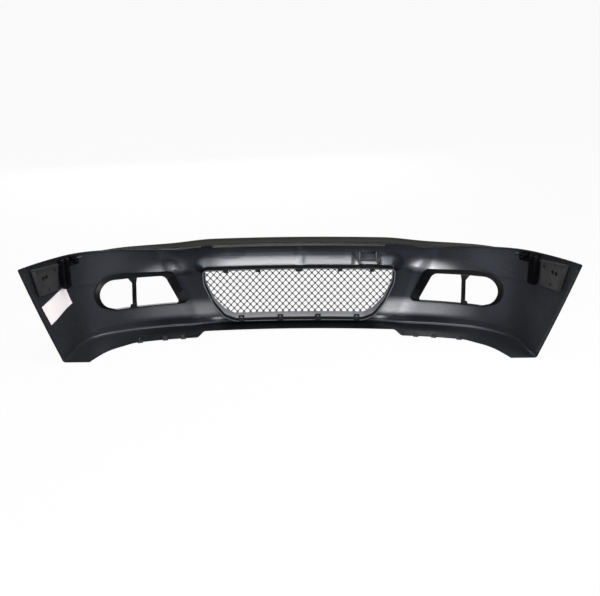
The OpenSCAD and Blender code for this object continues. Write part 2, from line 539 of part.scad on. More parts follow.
// Blank paper label on the left wing.
module paper_label() {
  color([0.95, 0.9, 0.9]) pad([[1032, 209], [1002, 138], [843, 159], [873, 230]], wall + 0.3, wall + 0.6, 5, 12);
}

bumper_skin();
grille_frame();
grille_mesh();
grille_top_clips();
grille_bottom_clips();
left_duct_bezel();
right_duct_bezel();
left_duct_divider();
right_duct_divider();
left_side_bracket();
right_side_bracket();
left_bracket_rail();
right_bracket_rail();
left_bracket_screws();
right_bracket_screws();
left_lamp_bracket();
right_lamp_bracket();
left_undertray_nuts();
right_undertray_nuts();
tow_eye_cover();
paper_label();
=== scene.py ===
# %% [markdown]
# # The inside of a front bumper cover
# A bumper cover is one wide, thin moulding that wraps round the nose of a car.
# We look at it from behind: the hollow side, with the grille insert clipped
# into its collar, the two duct surrounds, and the brackets on the wings.
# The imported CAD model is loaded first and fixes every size. New pieces are
# built over it in the same frame, in metres.

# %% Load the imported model
import math

import bpy
import numpy as np
from mathutils import Matrix, Vector


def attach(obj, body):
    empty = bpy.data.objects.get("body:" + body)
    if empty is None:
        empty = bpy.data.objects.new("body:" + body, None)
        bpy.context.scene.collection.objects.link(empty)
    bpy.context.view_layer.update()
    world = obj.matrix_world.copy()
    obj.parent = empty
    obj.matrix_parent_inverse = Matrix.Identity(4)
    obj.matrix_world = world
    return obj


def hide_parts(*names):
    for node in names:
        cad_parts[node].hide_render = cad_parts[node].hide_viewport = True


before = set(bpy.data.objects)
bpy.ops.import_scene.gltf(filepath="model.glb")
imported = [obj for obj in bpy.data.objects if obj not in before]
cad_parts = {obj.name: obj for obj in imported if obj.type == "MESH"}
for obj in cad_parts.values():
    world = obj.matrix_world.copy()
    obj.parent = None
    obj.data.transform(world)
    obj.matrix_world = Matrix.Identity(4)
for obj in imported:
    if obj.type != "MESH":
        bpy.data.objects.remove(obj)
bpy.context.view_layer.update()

# %% [markdown]
# The camera stands behind the cover, a little above it, as someone would who
# looks into the hollow side. It is set by its distance, its height angle and
# its turn from straight behind, which are easier to read than a matrix.

# %% Camera
TARGET = Vector((0, 0, 0.174))
DISTANCE = 3.7
HEIGHT_ANGLE = math.radians(20)
SIDE_ANGLE = math.radians(1.0)
ROLL = math.radians(-0.2)
SENSOR, LENS = 36, 65.04        # mm
SIGHT = 60                      # m


def place_camera():
    back = Vector((math.sin(SIDE_ANGLE) * math.cos(HEIGHT_ANGLE),
                   math.cos(SIDE_ANGLE) * math.cos(HEIGHT_ANGLE), math.sin(HEIGHT_ANGLE)))
    right = (-back).cross(Vector((0, 0, 1))).normalized()
    up = right.cross(-back)
    side = right * math.cos(ROLL) + up * math.sin(ROLL)
    top = up * math.cos(ROLL) - right * math.sin(ROLL)
    data = bpy.data.cameras.new("camera")
    data.sensor_width, data.lens, data.clip_end = SENSOR, LENS, SIGHT
    camera = bpy.data.objects.new("camera", data)
    bpy.context.scene.collection.objects.link(camera)
    camera.matrix_world = Matrix.Translation(TARGET + back * DISTANCE) @ Matrix(
        (side, top, back)).transposed().to_4x4()
    bpy.context.scene.camera = camera
    return camera


camera = place_camera()
print("camera at", [round(v, 3) for v in camera.matrix_world.translation])

# %% [markdown]
# Shader maths reads best as plain sums. `Value` wraps one socket, so that
# `1 - mask * 0.4` adds the Math nodes by itself. `Finish` makes one material
# and adds any other node by its type, its settings and its input values.

# %% Shader helpers


class Value:
    """A socket in a shader; + - * / and abs on it add Math nodes."""

    def __init__(self, finish, socket):
        self.finish, self.socket = finish, socket

    def maths(self, operation, *terms):
        return self.finish.add("ShaderNodeMath", {"operation": operation}, *terms)

    def __add__(self, other):
        return self.maths("ADD", self, other)

    def __sub__(self, other):
        return self.maths("SUBTRACT", self, other)

    def __rsub__(self, other):
        return self.maths("SUBTRACT", other, self)

    def __mul__(self, other):
        return self.maths("MULTIPLY", self, other)

    def __truediv__(self, other):
        return self.maths("DIVIDE", self, other)

    def __rtruediv__(self, other):
        return self.maths("DIVIDE", other, self)

    def __abs__(self):
        return self.maths("ABSOLUTE", self)

    __radd__ = __add__
    __rmul__ = __mul__

    def soft(self, low, high):
        """0 below low, 1 above high, smooth between."""
        return self.finish.add("ShaderNodeMapRange", {"interpolation_type": "SMOOTHSTEP"},
                               self, low, high, 0.0, 1.0)

    def between(self, low, low_end, high, high_end):
        """Rises over the first two values and falls back over the last two."""
        return self.soft(low, low_end) * (1 - self.soft(high, high_end))


class Finish:
    """One material, with its nodes."""

    def __init__(self, name):
        self.material = bpy.data.materials.new(name)
        self.material.use_nodes = True
        self.tree = self.material.node_tree
        self.tree.nodes.clear()
        self.place = self.add("ShaderNodeTexCoord", output="Object")

    def add(self, kind, settings=None, *values, output=0, **named):
        """Any node, by its type, its settings, and the values or links of its sockets."""
        node = self.tree.nodes.new(kind)
        for key, value in (settings or {}).items():
            setattr(node, key, value)
        pairs = list(zip(node.inputs, values))
        pairs += [(node.inputs[key.replace("_", " ")], value) for key, value in named.items()]
        for socket, value in pairs:
            if isinstance(value, Value):
                self.tree.links.new(value.socket, socket)
            else:
                socket.default_value = value
        return Value(self, node.outputs[output]) if len(node.outputs) else None

    def axis(self, index):
        """One Object coordinate: 0, 1 or 2."""
        return self.add("ShaderNodeSeparateXYZ", None, self.place, output=index)

    def mix(self, factor, a, b):
        """Colour a where factor is 0, colour b where it is 1."""
        node = self.tree.nodes.new("ShaderNodeMix")
        node.data_type = "RGBA"
        for index, value in ((0, factor), (6, a), (7, b)):
            if isinstance(value, Value):
                self.tree.links.new(value.socket, node.inputs[index])
            else:
                node.inputs[index].default_value = (*value, 1)
        return Value(self, node.outputs[2])

    def spot(self, u, v, u_at, v_at, u_half, v_half):
        """1 at [u_at, v_at], fading to almost nothing on an oval round it."""
        across, up = (u - u_at) / u_half, (v - v_at) / v_half
        return self.add("ShaderNodeMath", {"operation": "POWER"}, 0.06, across * across + up * up)

    def noise(self, scale, detail=3.0, rough=0.5, stretch=None):
        place = self.place
        if stretch:
            place = self.add("ShaderNodeMapping", None, place, Scale=stretch)
        return self.add("ShaderNodeTexNoise", None, Vector=place, Scale=scale, Detail=detail,
                        Roughness=rough)

    def bump(self, height, strength, distance, under=None):
        named = {"Height": height, "Strength": strength, "Distance": distance}
        if under is not None:
            named["Normal"] = under
        return self.add("ShaderNodeBump", None, **named)

    def surface(self, colour, roughness, metallic, normal, **more):
        shader = self.add("ShaderNodeBsdfPrincipled", None, Base_Color=colour,
                          Roughness=roughness, Metallic=metallic, Normal=normal, **more)
        self.add("ShaderNodeOutputMaterial", None, shader)
        return self.material

# %% [markdown]
# The studio is plain: a pale floor that runs on to the horizon and five wide,
# soft lamps. One hangs overhead, two stand by the viewer, high and low, one is
# in front of the car and one at the side. Black plastic shows little colour of
# its own, so its shape is told by what it mirrors: the lamps, the pale pool
# that they throw on the floor, and the dim room between them. The pool is
# painted on the floor for mirrored rays only.

# %% Studio
LAMPS = [  # name, place, size, power
    ("lamp_over", (0.0, 0.6, 2.2), (2.0, 1.3), 27),
    ("lamp_rear", (0.80, 3.2, 2.0), (2.4, 0.9), 58),
    ("lamp_low", (0.80, 3.4, 1.0), (2.6, 0.9), 32),
    ("lamp_front", (0.5, -2.8, 0.8), (2.4, 1.0), 40),
    ("lamp_side", (-1.8, 1.0, 1.3), (0.8, 0.8), 30),
]
LAMPS_AIM = Vector((0, 0, 0.15))
POOLS = [  # centre, half sizes, strength
    ((0.40, 0.17), (0.24, 0.18), 0.7),
    ((-0.40, 0.17), (0.28, 0.22), 1.0),
    ((0.3, -1.3), (1.1, 0.5), 0.4),
]
POOL_TINT, POOL_DIM = (0.88, 0.92, 1.0, 1), 0.06
ROOM_TINT, ROOM_LIGHT = (0.90, 0.93, 1.0, 1), 0.04
BACKDROP = (0.97, 0.97, 0.97, 1)
FLOOR_SIZE, FLOOR_Z = 40, -0.0015
FLOOR_WHITE = 0.95       # the share of plain white in the floor that the camera sees


def make_world():
    """Nearly white where the camera looks, dim and cool as a light."""
    world = bpy.data.worlds.new("studio")
    world.use_nodes = True
    tree = world.node_tree
    tree.nodes.clear()
    path = tree.nodes.new("ShaderNodeLightPath")
    choose = tree.nodes.new("ShaderNodeMixShader")
    out = tree.nodes.new("ShaderNodeOutputWorld")
    tree.links.new(path.outputs["Is Camera Ray"], choose.inputs[0])
    for index, colour, strength in ((1, ROOM_TINT, ROOM_LIGHT), (2, BACKDROP, 1.0)):
        light = tree.nodes.new("ShaderNodeBackground")
        light.inputs["Color"].default_value = colour
        light.inputs["Strength"].default_value = strength
        tree.links.new(light.outputs[0], choose.inputs[index])
    tree.links.new(choose.outputs[0], out.inputs[0])
    bpy.context.scene.world = world


def make_floor():
    bpy.ops.mesh.primitive_plane_add(size=FLOOR_SIZE, location=(0, 0, FLOOR_Z))
    floor = bpy.context.object
    floor.name = "floor"
    paint = Finish("floor_paint")
    seen = paint.add("ShaderNodeLightPath", output="Is Camera Ray")
    mirrored_ray = paint.add("ShaderNodeLightPath", output="Is Glossy Ray")
    tone = paint.mix(paint.noise(3.0), (0.78, 0.78, 0.78), (0.82, 0.82, 0.82))
    lit = paint.add("ShaderNodeBsdfDiffuse", None, tone)
    white = paint.add("ShaderNodeEmission", None, (1, 1, 1, 1), 1.0)
    share = paint.add("ShaderNodeMixShader", None, seen * FLOOR_WHITE, lit, white)
    side, back = paint.axis(0), paint.axis(1)
    pool = (1 - abs(side).soft(0.18, 0.30)) * back.soft(-0.05, 0.42)
    pool = pool * (1 - back.soft(0.8, 1.3) * 0.7)
    for centre, half, strength in POOLS:
        pool = pool + paint.spot(side, back, *centre, *half) * strength
    shine = paint.add("ShaderNodeEmission", None, POOL_TINT, 1.0)
    dull = paint.add("ShaderNodeEmission", None, POOL_TINT, POOL_DIM)
    glow = paint.add("ShaderNodeMixShader", None, pool, dull, shine)
    look = paint.add("ShaderNodeMixShader", None, mirrored_ray, share, glow)
    paint.add("ShaderNodeOutputMaterial", None, look)
    floor.data.materials.append(paint.material)


def make_lamps():
    for name, place, size, power in LAMPS:
        data = bpy.data.lights.new(name, "AREA")
        data.shape, data.size, data.size_y, data.energy = "RECTANGLE", *size, power
        lamp = bpy.data.objects.new(name, data)
        lamp.location = place
        lamp.rotation_euler = (LAMPS_AIM - lamp.location).to_track_quat("-Z", "Y").to_euler()
        lamp.visible_camera = False
        bpy.context.scene.collection.objects.link(lamp)


make_world()
make_floor()
make_lamps()
bpy.context.scene.view_settings.view_transform = "Standard"
print("a floor and", len(LAMPS), "lamps")

# %% [markdown]
# Plastic is never one flat colour. The hollow side of a moulding keeps the
# tool's satin finish, with flow marks, and the show side has a fine even grain.
# Each finish varies colour and roughness with noise on the Object coordinates,
# and a small bump breaks up its mirror image. Where the hollow side shines it
# gets a coat, whose weight can change from place to place, and there its colour
# is painted paler, a painted sheen. A painted glow lightens it further over the
# ledges, and the wings are a shade paler.

# %% Plastic
SPECK_GREY, PAINTED_GLOW_GREY = (0.20, 0.20, 0.21), (0.46, 0.47, 0.51)
PALER_WING_GREY, PAINTED_SHEEN_GREY = (0.034, 0.035, 0.040), (0.13, 0.13, 0.15)
COOL_GLOSS = (0.82, 0.88, 1.0, 1.0)
SPECKS, FLOW_DEPTH = 0.05, 0.0003


def plastic(name, dark, light, rough, grain=900, grain_depth=0.00002, ior=1.5, sheen_mask=None,
            glow_mask=None):
    """A moulded plastic; the two functions at the end say where it gets a coat with a painted
    sheen, and where a painted glow.
    """
    f = Finish(name)
    cloud = f.noise(9.0, 4.0, 0.6)
    flow = f.noise(3.5, 3.0, 0.5, stretch=(1.0, 2.0, 5.0))
    speck = f.noise(260.0, 2.0, 0.6).soft(0.60, 0.78)
    colour = f.mix(cloud, dark, light)
    colour = f.mix(speck * SPECKS, colour, SPECK_GREY)
    roughness = rough + (cloud - 0.5) * 0.12 + (flow - 0.5) * 0.10 + speck * 0.1
    fine = f.bump(f.noise(grain, 2.0), 0.5, grain_depth)
    normal = f.bump(flow, 0.6, FLOW_DEPTH, fine)
    if glow_mask:
        # painted glow: the colour turns towards a pale grey where the glow mask is
        colour = f.mix(glow_mask(f) * (0.7 + cloud * 0.6), colour, PAINTED_GLOW_GREY)
    if not sheen_mask:
        return f.surface(colour, roughness, 0.0, normal, IOR=ior)
    ends = abs(f.axis(0)).soft(0.46, 0.64)       # the wings are a shade paler
    colour = f.mix(ends * 0.6, colour, PALER_WING_GREY)
    coat_and_sheen = sheen_mask(f) * (0.75 + flow * 0.5)
    # where the coat lies the colour is painted paler too: a painted sheen
    colour = f.mix(coat_and_sheen * 0.6, colour, PAINTED_SHEEN_GREY)
    return f.surface(colour, roughness, 0.0, normal, IOR=ior, Specular_Tint=COOL_GLOSS,
                     Coat_Weight=coat_and_sheen, Coat_IOR=3.4, Coat_Roughness=0.27, Coat_Normal=normal)

# %% [markdown]
# The wall shines over the grille and at the ducts' inner corners: there it
# gets a coat, and its colour is painted paler as a painted sheen. Just over the
# two ledges a painted glow lightens it further. At the ducts both are stronger
# on the right, where more light falls. Both are masks: sums of soft steps and
# soft ovals on the Object coordinates, in metres, which stay with the piece when
# it moves.

# %% Coat, painted sheen and painted glow
MARKS = [  # duller patches over the grille: left, right, low, high, strength
    (0.190, 0.245, 0.252, 0.276, 0.45),
    (-0.105, -0.045, 0.246, 0.274, 0.3),
    (-0.165, -0.108, 0.238, 0.279, 0.35),
]


def patch_mask(x, z, x0, x1, z0, z1):
    """1 on a rectangle, with an edge 3 mm wide."""
    return (x.between(x0 - 0.001, x0 + 0.002, x1 - 0.002, x1 + 0.001)
            * z.between(z0 - 0.001, z0 + 0.002, z1 - 0.002, z1 + 0.001))


def right_side(f):
    """0 on the left, 1 on the right, soft at the middle."""
    return (0 - f.axis(0)).soft(-0.05, 0.05)


def wall_coat_and_painted_sheen(f):
    """Where the wall gets the coat and a painted sheen: over the grille, over and under the ducts'
    inner corners.
    """
    x, z = f.axis(0), f.axis(2)
    wide, right = abs(x), right_side(f)
    band = (1 - wide.soft(0.23, 0.34)) * z.between(0.200, 0.222, 0.236, 0.290)
    for *area, strength in MARKS:
        band = band * (1 - patch_mask(x, z, *area) * strength)
    # the sink mark: less coat and sheen on it, and a painted highlight beside it
    band = band * (1 - f.spot(x, z, 0.012, 0.262, 0.014, 0.030) * 0.7)
    band = band + f.spot(x, z, -0.012, 0.248, 0.020, 0.016) * 0.35
    over = wide.between(0.385, 0.425, 0.43, 0.60) * z.between(0.190, 0.212, 0.212, 0.262)
    under = wide.between(0.270, 0.320, 0.46, 0.66) * z.between(0.032, 0.052, 0.072, 0.104)
    return band * (0.34 - right * 0.12) + (over * 0.5 + under * 1.2) * (0.45 + right * 0.55)


def foot_coat_and_painted_highlight(f):
    """Where the foot's crease runs out beside the collar: a coat and a painted highlight."""
    return f.spot(abs(f.axis(0)), f.axis(2), 0.295, 0.026, 0.030, 0.012) * 0.7


def over_grille(f):
    """Along the grille, fading towards its upper corners."""
    x = f.axis(0)
    return (x.soft(-0.325, -0.26) * 0.75 + x.soft(-0.04, 0.03) * 0.25) * (1 - x.soft(0.25, 0.325))


def over_duct(f):
    """Along a duct's upper edge, strongest at the corner nearest the grille."""
    return abs(f.axis(0)).between(0.400, 0.425, 0.43, 0.62) * (0.25 + right_side(f) * 0.75)


def painted_glow_over_ledges(f):
    """A painted glow on the wall just over the two ledges, which thins out upwards."""
    z = f.axis(2)
    grille = over_grille(f) * f.spot(z, z, 0.222, 0.222, 0.052, 0.052)
    duct = over_duct(f) * f.spot(z, z, 0.213, 0.213, 0.042, 0.042)
    return (grille + duct) * 0.20

# %% [markdown]
# The rest needs less: steel is a rough metal with fine scratches, and the
# label's paper is nearly white, with fibres and a faint stain. The table then
# names each finish and gives its darker and its lighter tone.

# %% Steel, paper and the table of finishes


def metal(name, colour, rough):
    f = Finish(name)
    cloud = f.noise(60.0, 3.0, 0.6)
    scratch = f.noise(300.0, 2.0, 0.5, stretch=(1.0, 1.0, 8.0))
    tone = f.mix(cloud, tuple(c * 0.8 for c in colour), colour)
    return f.surface(tone, rough + (cloud - 0.5) * 0.2, 0.9, f.bump(scratch, 0.4, 0.00008))


def paper():
    f = Finish("label_paper")
    fibre = f.noise(700.0, 4.0, 0.7)
    stain = f.noise(14.0, 3.0, 0.5)
    colour = f.mix(stain, (0.96, 0.86, 0.88), (1.0, 0.95, 0.95))
    return f.surface(colour, 0.55 + fibre * 0.2, 0.0, f.bump(fibre, 0.3, 0.00005))


BLACK = (0.004, 0.0045, 0.006), (0.008, 0.0085, 0.011)      # its darker and its lighter clouds
FINISHES = {
    "inside": plastic("inside_plastic", (0.005, 0.0055, 0.0075), (0.009, 0.0095, 0.0125), 0.30,
                      ior=1.55, sheen_mask=wall_coat_and_painted_sheen, glow_mask=painted_glow_over_ledges),
    "foot": plastic("foot_plastic", *BLACK, 0.36, ior=1.3, sheen_mask=foot_coat_and_painted_highlight),
    "collar": plastic("collar_plastic", *BLACK, 0.42, ior=1.45),
    # a pale grey for the collar's rear edge: a painted highlight line
    "edge": plastic("collar_edge_painted_highlight", (0.09, 0.09, 0.10), (0.14, 0.14, 0.155), 0.35),
    "outside": plastic("outside_plastic", (0.016, 0.016, 0.014), (0.024, 0.024, 0.021), 0.55,
                       grain=1400, grain_depth=0.0001, ior=1.4),
    "funnel": plastic("funnel_plastic", (0.13, 0.13, 0.145), (0.22, 0.22, 0.24), 0.30),
    "mesh": plastic("mesh_plastic", (0.055, 0.055, 0.065), (0.085, 0.085, 0.095), 0.42),
    "clip": plastic("clip_plastic", (0.004, 0.004, 0.005), (0.008, 0.008, 0.009), 0.45, ior=1.4),
    "bezel": plastic("bezel_plastic", (0.003, 0.003, 0.004), (0.006, 0.006, 0.007), 0.42, ior=1.4),
    "bracket": plastic("bracket_plastic", (0.026, 0.026, 0.027), (0.050, 0.049, 0.050), 0.36),
    "rail": plastic("rail_plastic", (0.002, 0.002, 0.003), (0.004, 0.004, 0.005), 0.50, ior=1.2),
    "screw": metal("screw_steel", (0.06, 0.06, 0.065), 0.40),
    "nut": metal("nut_steel", (0.10, 0.10, 0.11), 0.45),
    "paper": paper(),
}

print(len(FINISHES), "finishes")

# %% [markdown]
# Every face of the cover lies a known depth inside one plan curve: four arcs
# that run from the middle of the nose, round the corner and back along the
# wing. So a point is given by its run along that curve, its height, and its
# depth inwards, and the same sums place the shell and all that sits on it.

# %% Plan curve
MM = 0.001
NOSE_FRONT = 225.0
BEND_R = np.array([3170.0, 1280.0, 335.0, 1270.0])
BEND_A = np.radians([0.0, 7.4, 15.8, 63.3])
bend_s = np.concatenate([[0], np.cumsum(BEND_R[:3] * np.diff(BEND_A))])
bend_p = [np.array([0.0, -NOSE_FRONT])]
for radius, a, b in zip(BEND_R, BEND_A, BEND_A[1:]):
    turned = [math.sin(b) - math.sin(a), math.cos(a) - math.cos(b)]
    bend_p.append(bend_p[-1] + radius * np.array(turned))
bend_p = np.array(bend_p)
print("the arcs end at runs of", bend_s[1:].round(), "mm, and the last runs on")


def arc_at(run):
    """The arc that a run lies on, and the curve's direction there."""
    q = np.abs(run)
    i = np.searchsorted(bend_s[1:], q, side="right")
    return i, BEND_A[i] + (q - bend_s[i]) / BEND_R[i]


def place(run, height, depth):
    """Points in mm from runs, heights and depths (arrays or numbers)."""
    run, height, depth = np.broadcast_arrays(*np.atleast_1d(run, height, depth))
    i, a = arc_at(run)
    x = bend_p[i, 0] + BEND_R[i] * (np.sin(a) - np.sin(BEND_A[i])) - depth * np.sin(a)
    y = bend_p[i, 1] + BEND_R[i] * (np.cos(BEND_A[i]) - np.cos(a)) + depth * np.cos(a)
    return np.stack([np.where(run < 0, -x, x), y, height], -1)

# %% [markdown]
# The section changes along the curve: a flange that narrows towards the wing,
# a rounded edge, a crowned face that turns into a leaning wing, a rounded foot
# and the return under it. Each of its sizes is a short formula of the run,
# with `ease` for a change that starts and ends softly.

# %% Section of the shell
WALL = 3.0
BELT, TOP_H, TOP_RAISE, WING_RISE = 225.0, 316.0, 10.0, 52.0
WING_FROM, WING_LENGTH = 700, 425
NOSE_BULGE, SIDE_BULGE = 20.0, 6.0
WING_LEAN, WING_BOW = 59, 28
EDGE_R, FOOT_R, FOOT_IN = 9.0, 14.0, 9.0
FLANGE_NOSE, FLANGE_SIDE, FLANGE_WING = 75, 57, 20      # depths of the top flange
RETURN_NOSE, RETURN_SIDE = 80, 137                      # depths of the lower return
CORNER_R = 6.0          # the wing's lower rear corner
FLANGE_ROWS, EDGE_ROWS, FACE_ROWS, RETURN_ROWS = 6, 7, 84, 14


def ease(t):
    t = np.clip(t, 0, 1)
    return t * t * (3 - 2 * t)


def top_z(q):
    raised = TOP_RAISE * (1 - ease((q - 300) / 170))
    return TOP_H + raised + WING_RISE * np.maximum(q - WING_FROM, 0) / WING_LENGTH


def bot_z(q):
    return 4 * (1 - ease((q - 330) / 60))


def bulge(q, z):
    return SIDE_BULGE + (NOSE_BULGE - SIDE_BULGE) * (1 - ease((q - 345 - 0.33 * z) / 70))


def face_o(run, z):
    """Depth of the shell's outer face."""
    q = np.abs(run)
    b = bulge(q, z)
    top, low = top_z(q), bot_z(q)
    upper = -b * (1 - ((z - BELT) / (top - BELT)) ** 2)
    lower = -b + (b + FOOT_IN) * ((BELT - z) / (BELT - low)) ** 2
    front = np.where(z > BELT, upper, lower)
    t = z / top
    wing = WING_LEAN * (1 - t) - WING_BOW * t * (1 - t)
    w = ease((q - 760) / 240)
    return (1 - w) * front + w * wing


def flange_d(q):
    """Depth of the top flange: deepest over the nose, a narrow rim on the wing."""
    nose = FLANGE_NOSE - (FLANGE_NOSE - FLANGE_SIDE) * ease((q - 305) / 40)
    side = FLANGE_SIDE - (FLANGE_SIDE - FLANGE_WING) * (q - 420) / 240
    return np.where(q < 420, nose, np.maximum(side, FLANGE_WING - 8 * (1 - ease((760 - q) / 100))))


def pad_z(q):
    return top_z(q) - (2 + 9 * ease((760 - q) / 400))


def under_d(q):
    return RETURN_NOSE + (RETURN_SIDE - RETURN_NOSE) * ease((q - 345) / 35)


def under_lift(q):
    return 1 + 4 * ease((q - 330) / 60) * (1 - ease((q - 620) / 100))


def arch_y(z):
    """How far back the wheel-arch edge lies."""
    low = np.clip((CORNER_R - z) / CORNER_R, 0, 1)
    return 136 + 0.19 * z + 0.00029 * z * z - CORNER_R * (1 - np.sqrt(1 - low * low))


def crown_y(x, back=0.0):
    return -NOSE_FRONT + BEND_R[0] - np.sqrt(BEND_R[0] ** 2 - np.asarray(x) ** 2) + back


def section(q, t):
    """Depths and heights of the section at runs q, t mm under the show side.

    The rows run from the flange's rear edge over the face to the return's.
    """
    q = np.asarray(q, float)
    rows = []
    top, low = top_z(q), bot_z(q)
    zt, zb = top - EDGE_R, low + FOOT_R

    def edge(angle):
        r = EDGE_R - t
        return face_o(q, zt) + EDGE_R - r * math.cos(angle), zt + r * math.sin(angle)

    def foot(angle):
        r = FOOT_R - t
        return face_o(q, zb) + FOOT_R - r * math.cos(angle), zb - r * math.sin(angle)

    pad = np.maximum(np.minimum(30, 0.55 * flange_d(q)), EDGE_R + 1)
    edge_top = edge(math.pi / 2)
    back, knee = (flange_d(q), pad_z(q) - t), (pad + 0.4 * t, pad_z(q) - t)
    half = (0.5 * (edge_top[0] + pad) + 0.2 * t, 0.35 * pad_z(q) + 0.65 * top - t)
    for k in range(FLANGE_ROWS):
        u = k / FLANGE_ROWS
        rows.append((back[0] * (1 - u) + knee[0] * u, back[1] * (1 - u) + knee[1] * u))
    # a smooth run from the flat pad, over the half-way point, to the rounded edge
    for k in range(FLANGE_ROWS):
        u = k / FLANGE_ROWS
        w = (1 - u) * (1 - 2 * u), 4 * u * (1 - u), u * (2 * u - 1)
        rows.append(tuple(w[0] * knee[j] + w[1] * half[j] + w[2] * edge_top[j] for j in (0, 1)))
    for k in range(EDGE_ROWS):
        rows.append(edge(math.pi / 2 * (1 - k / EDGE_ROWS)))
    for k in range(FACE_ROWS + 1):
        z = zt + (zb - zt) * k / FACE_ROWS
        rows.append((face_o(q, z) + t, z))
    for k in range(1, EDGE_ROWS + 1):
        rows.append(foot(math.pi / 2 * k / EDGE_ROWS))
    foot_end = foot(math.pi / 2)[0]
    for k in range(1, RETURN_ROWS + 1):
        u = k / RETURN_ROWS
        lift = under_lift(q) * ease(u / 0.62)
        rows.append((foot_end + (under_d(q) - foot_end) * u, low + lift + t))
    return np.array([np.broadcast_arrays(o, z) for o, z in rows])


print("the section has", len(section(0.0, 0)), "rows")

# %% [markdown]
# The wing ends at the wheel arch, whose edge is a curve of its own. Each row
# of the section meets it at another run, which halving an interval finds. The
# last columns of the grid are stretched so that they end just there.

# %% Grid of the shell
ARCH_NEAR, ARCH_FAR = 700.0, 1300.0     # the wheel-arch edge lies between these runs


def bisected(before):
    """The run at which before(run) stops being true."""
    low, high = ARCH_NEAR, ARCH_FAR
    for _ in range(30):
        mid = (low + high) / 2
        low, high = (mid, high) if before(mid) else (low, mid)
    return (low + high) / 2


def arch_run(row, t):
    """Run at which a row of the section meets the wheel-arch edge."""
    run = 1080.0
    for _ in range(5):
        o, z = section(run, t)[row]
        run = bisected(lambda mid: place(mid, z, o)[0, 1] < arch_y(z))
    return run


FIXED_RUN, LAST_RUN = 880.0, 1120.0     # beyond the first, columns stretch to the arch edge
COLUMN_STEPS = [(1.5, 30, 3), (30, 300, 9), (300, 520, 6), (520, 760, 8), (760, FIXED_RUN, 10)]
half_columns = np.concatenate([*(np.arange(*steps) for steps in COLUMN_STEPS),
                               np.linspace(FIXED_RUN, LAST_RUN, 22)])
columns = np.concatenate([-half_columns[::-1], half_columns])
print(len(columns), "columns")


def shell_points(t, detail=None):
    """Grid of points over one face of the shell, [row, column]."""
    count = len(section(0.0, t))
    ends = np.array([arch_run(j, t) for j in range(count)])
    q = np.abs(columns)[None, :]
    stretch = (q - FIXED_RUN) * (ends[:, None] - FIXED_RUN) / (LAST_RUN - FIXED_RUN)
    run = np.where(q <= FIXED_RUN, q, FIXED_RUN + stretch)
    grid = np.empty((count, len(columns), 3))
    for j in range(count):
        signed = np.sign(columns) * run[j]
        o, z = section(run[j], t)[j]
        if detail:
            o = o + detail(signed, z)
        grid[j] = place(signed, z, o)
    return grid

# %% [markdown]
# An operator acts on whatever is selected, so these helpers first make sure
# of that: one piece in object mode, or the faces that a rule picks in edit
# mode. A modifier is added and applied at once, so a piece is plain mesh.

# %% Selecting and editing
MERGE, MESH_MERGE = 1e-6, 1e-5      # m, corners closer than this are one


def only(piece):
    for other in bpy.context.selected_objects:
        other.select_set(False)
    bpy.context.view_layer.objects.active = piece
    piece.select_set(True)


def edit(*steps):
    """Run edit-mode steps on everything in the active piece."""
    bpy.ops.object.mode_set(mode="EDIT")
    bpy.ops.mesh.select_all(action="SELECT")
    for step in steps:
        step()
    bpy.ops.object.mode_set(mode="OBJECT")


def outwards():
    bpy.ops.mesh.normals_make_consistent(inside=False)


def bridged():
    """Edit-mode step: join the open borders, and turn every face outwards."""
    bpy.ops.mesh.select_mode(type="EDGE")
    bpy.ops.mesh.select_all(action="DESELECT")
    bpy.ops.mesh.select_non_manifold()
    bpy.ops.mesh.bridge_edge_loops()
    bpy.ops.mesh.select_all(action="SELECT")
    outwards()


def pick_faces(piece, rule):
    """Enter edit mode with the faces selected that the rule holds for."""
    bpy.ops.object.mode_set(mode="EDIT")
    bpy.ops.mesh.select_mode(type="FACE")
    bpy.ops.mesh.select_all(action="DESELECT")
    bpy.ops.object.mode_set(mode="OBJECT")
    for face in piece.data.polygons:
        face.select = rule(face)
    bpy.ops.object.mode_set(mode="EDIT")


def modify(piece, kind, **settings):
    """Add one modifier and apply it."""
    only(piece)
    modifier = piece.modifiers.new(kind.lower(), kind)
    for key, value in settings.items():
        setattr(modifier, key, value)
    bpy.ops.object.modifier_apply(modifier=modifier.name)


def joined(name, pieces):
    bpy.ops.object.select_all(action="DESELECT")
    for piece in pieces:
        piece.select_set(True)
    bpy.context.view_layer.objects.active = pieces[0]
    if len(pieces) > 1:
        bpy.ops.object.join()
    piece = bpy.context.object
    piece.name = piece.data.name = name
    return piece


def cut(piece, cutter, operation="DIFFERENCE", solver="MANIFOLD"):
    """Apply a Boolean and throw its cutter away."""
    modify(piece, "BOOLEAN", operation=operation, solver=solver, object=cutter)
    bpy.data.objects.remove(cutter)

# %% [markdown]
# Each piece starts from a primitive: a grid for a sheet, a torus for a closed
# frame, a cylinder for a plug. The primitive brings the faces, and its corners
# are then moved to the places that the sums give. Hand shaping alone could not
# hold a 1.8 m surface to a tenth of a millimetre.

# %% Pieces from primitives


def start(name, primitive, **sizes):
    """Add a primitive at the origin and name it."""
    bpy.ops.object.select_all(action="DESELECT")
    primitive(**sizes)
    piece = bpy.context.object
    piece.name = piece.data.name = name
    piece.matrix_world = Matrix.Identity(4)
    return piece


def corners_of(piece):
    """Where a piece's corners are, in metres."""
    flat = np.empty(len(piece.data.vertices) * 3)
    piece.data.vertices.foreach_get("co", flat)
    return flat.reshape(-1, 3)


def move_corners(piece, points):
    piece.data.vertices.foreach_set("co", points.ravel())
    piece.data.update()


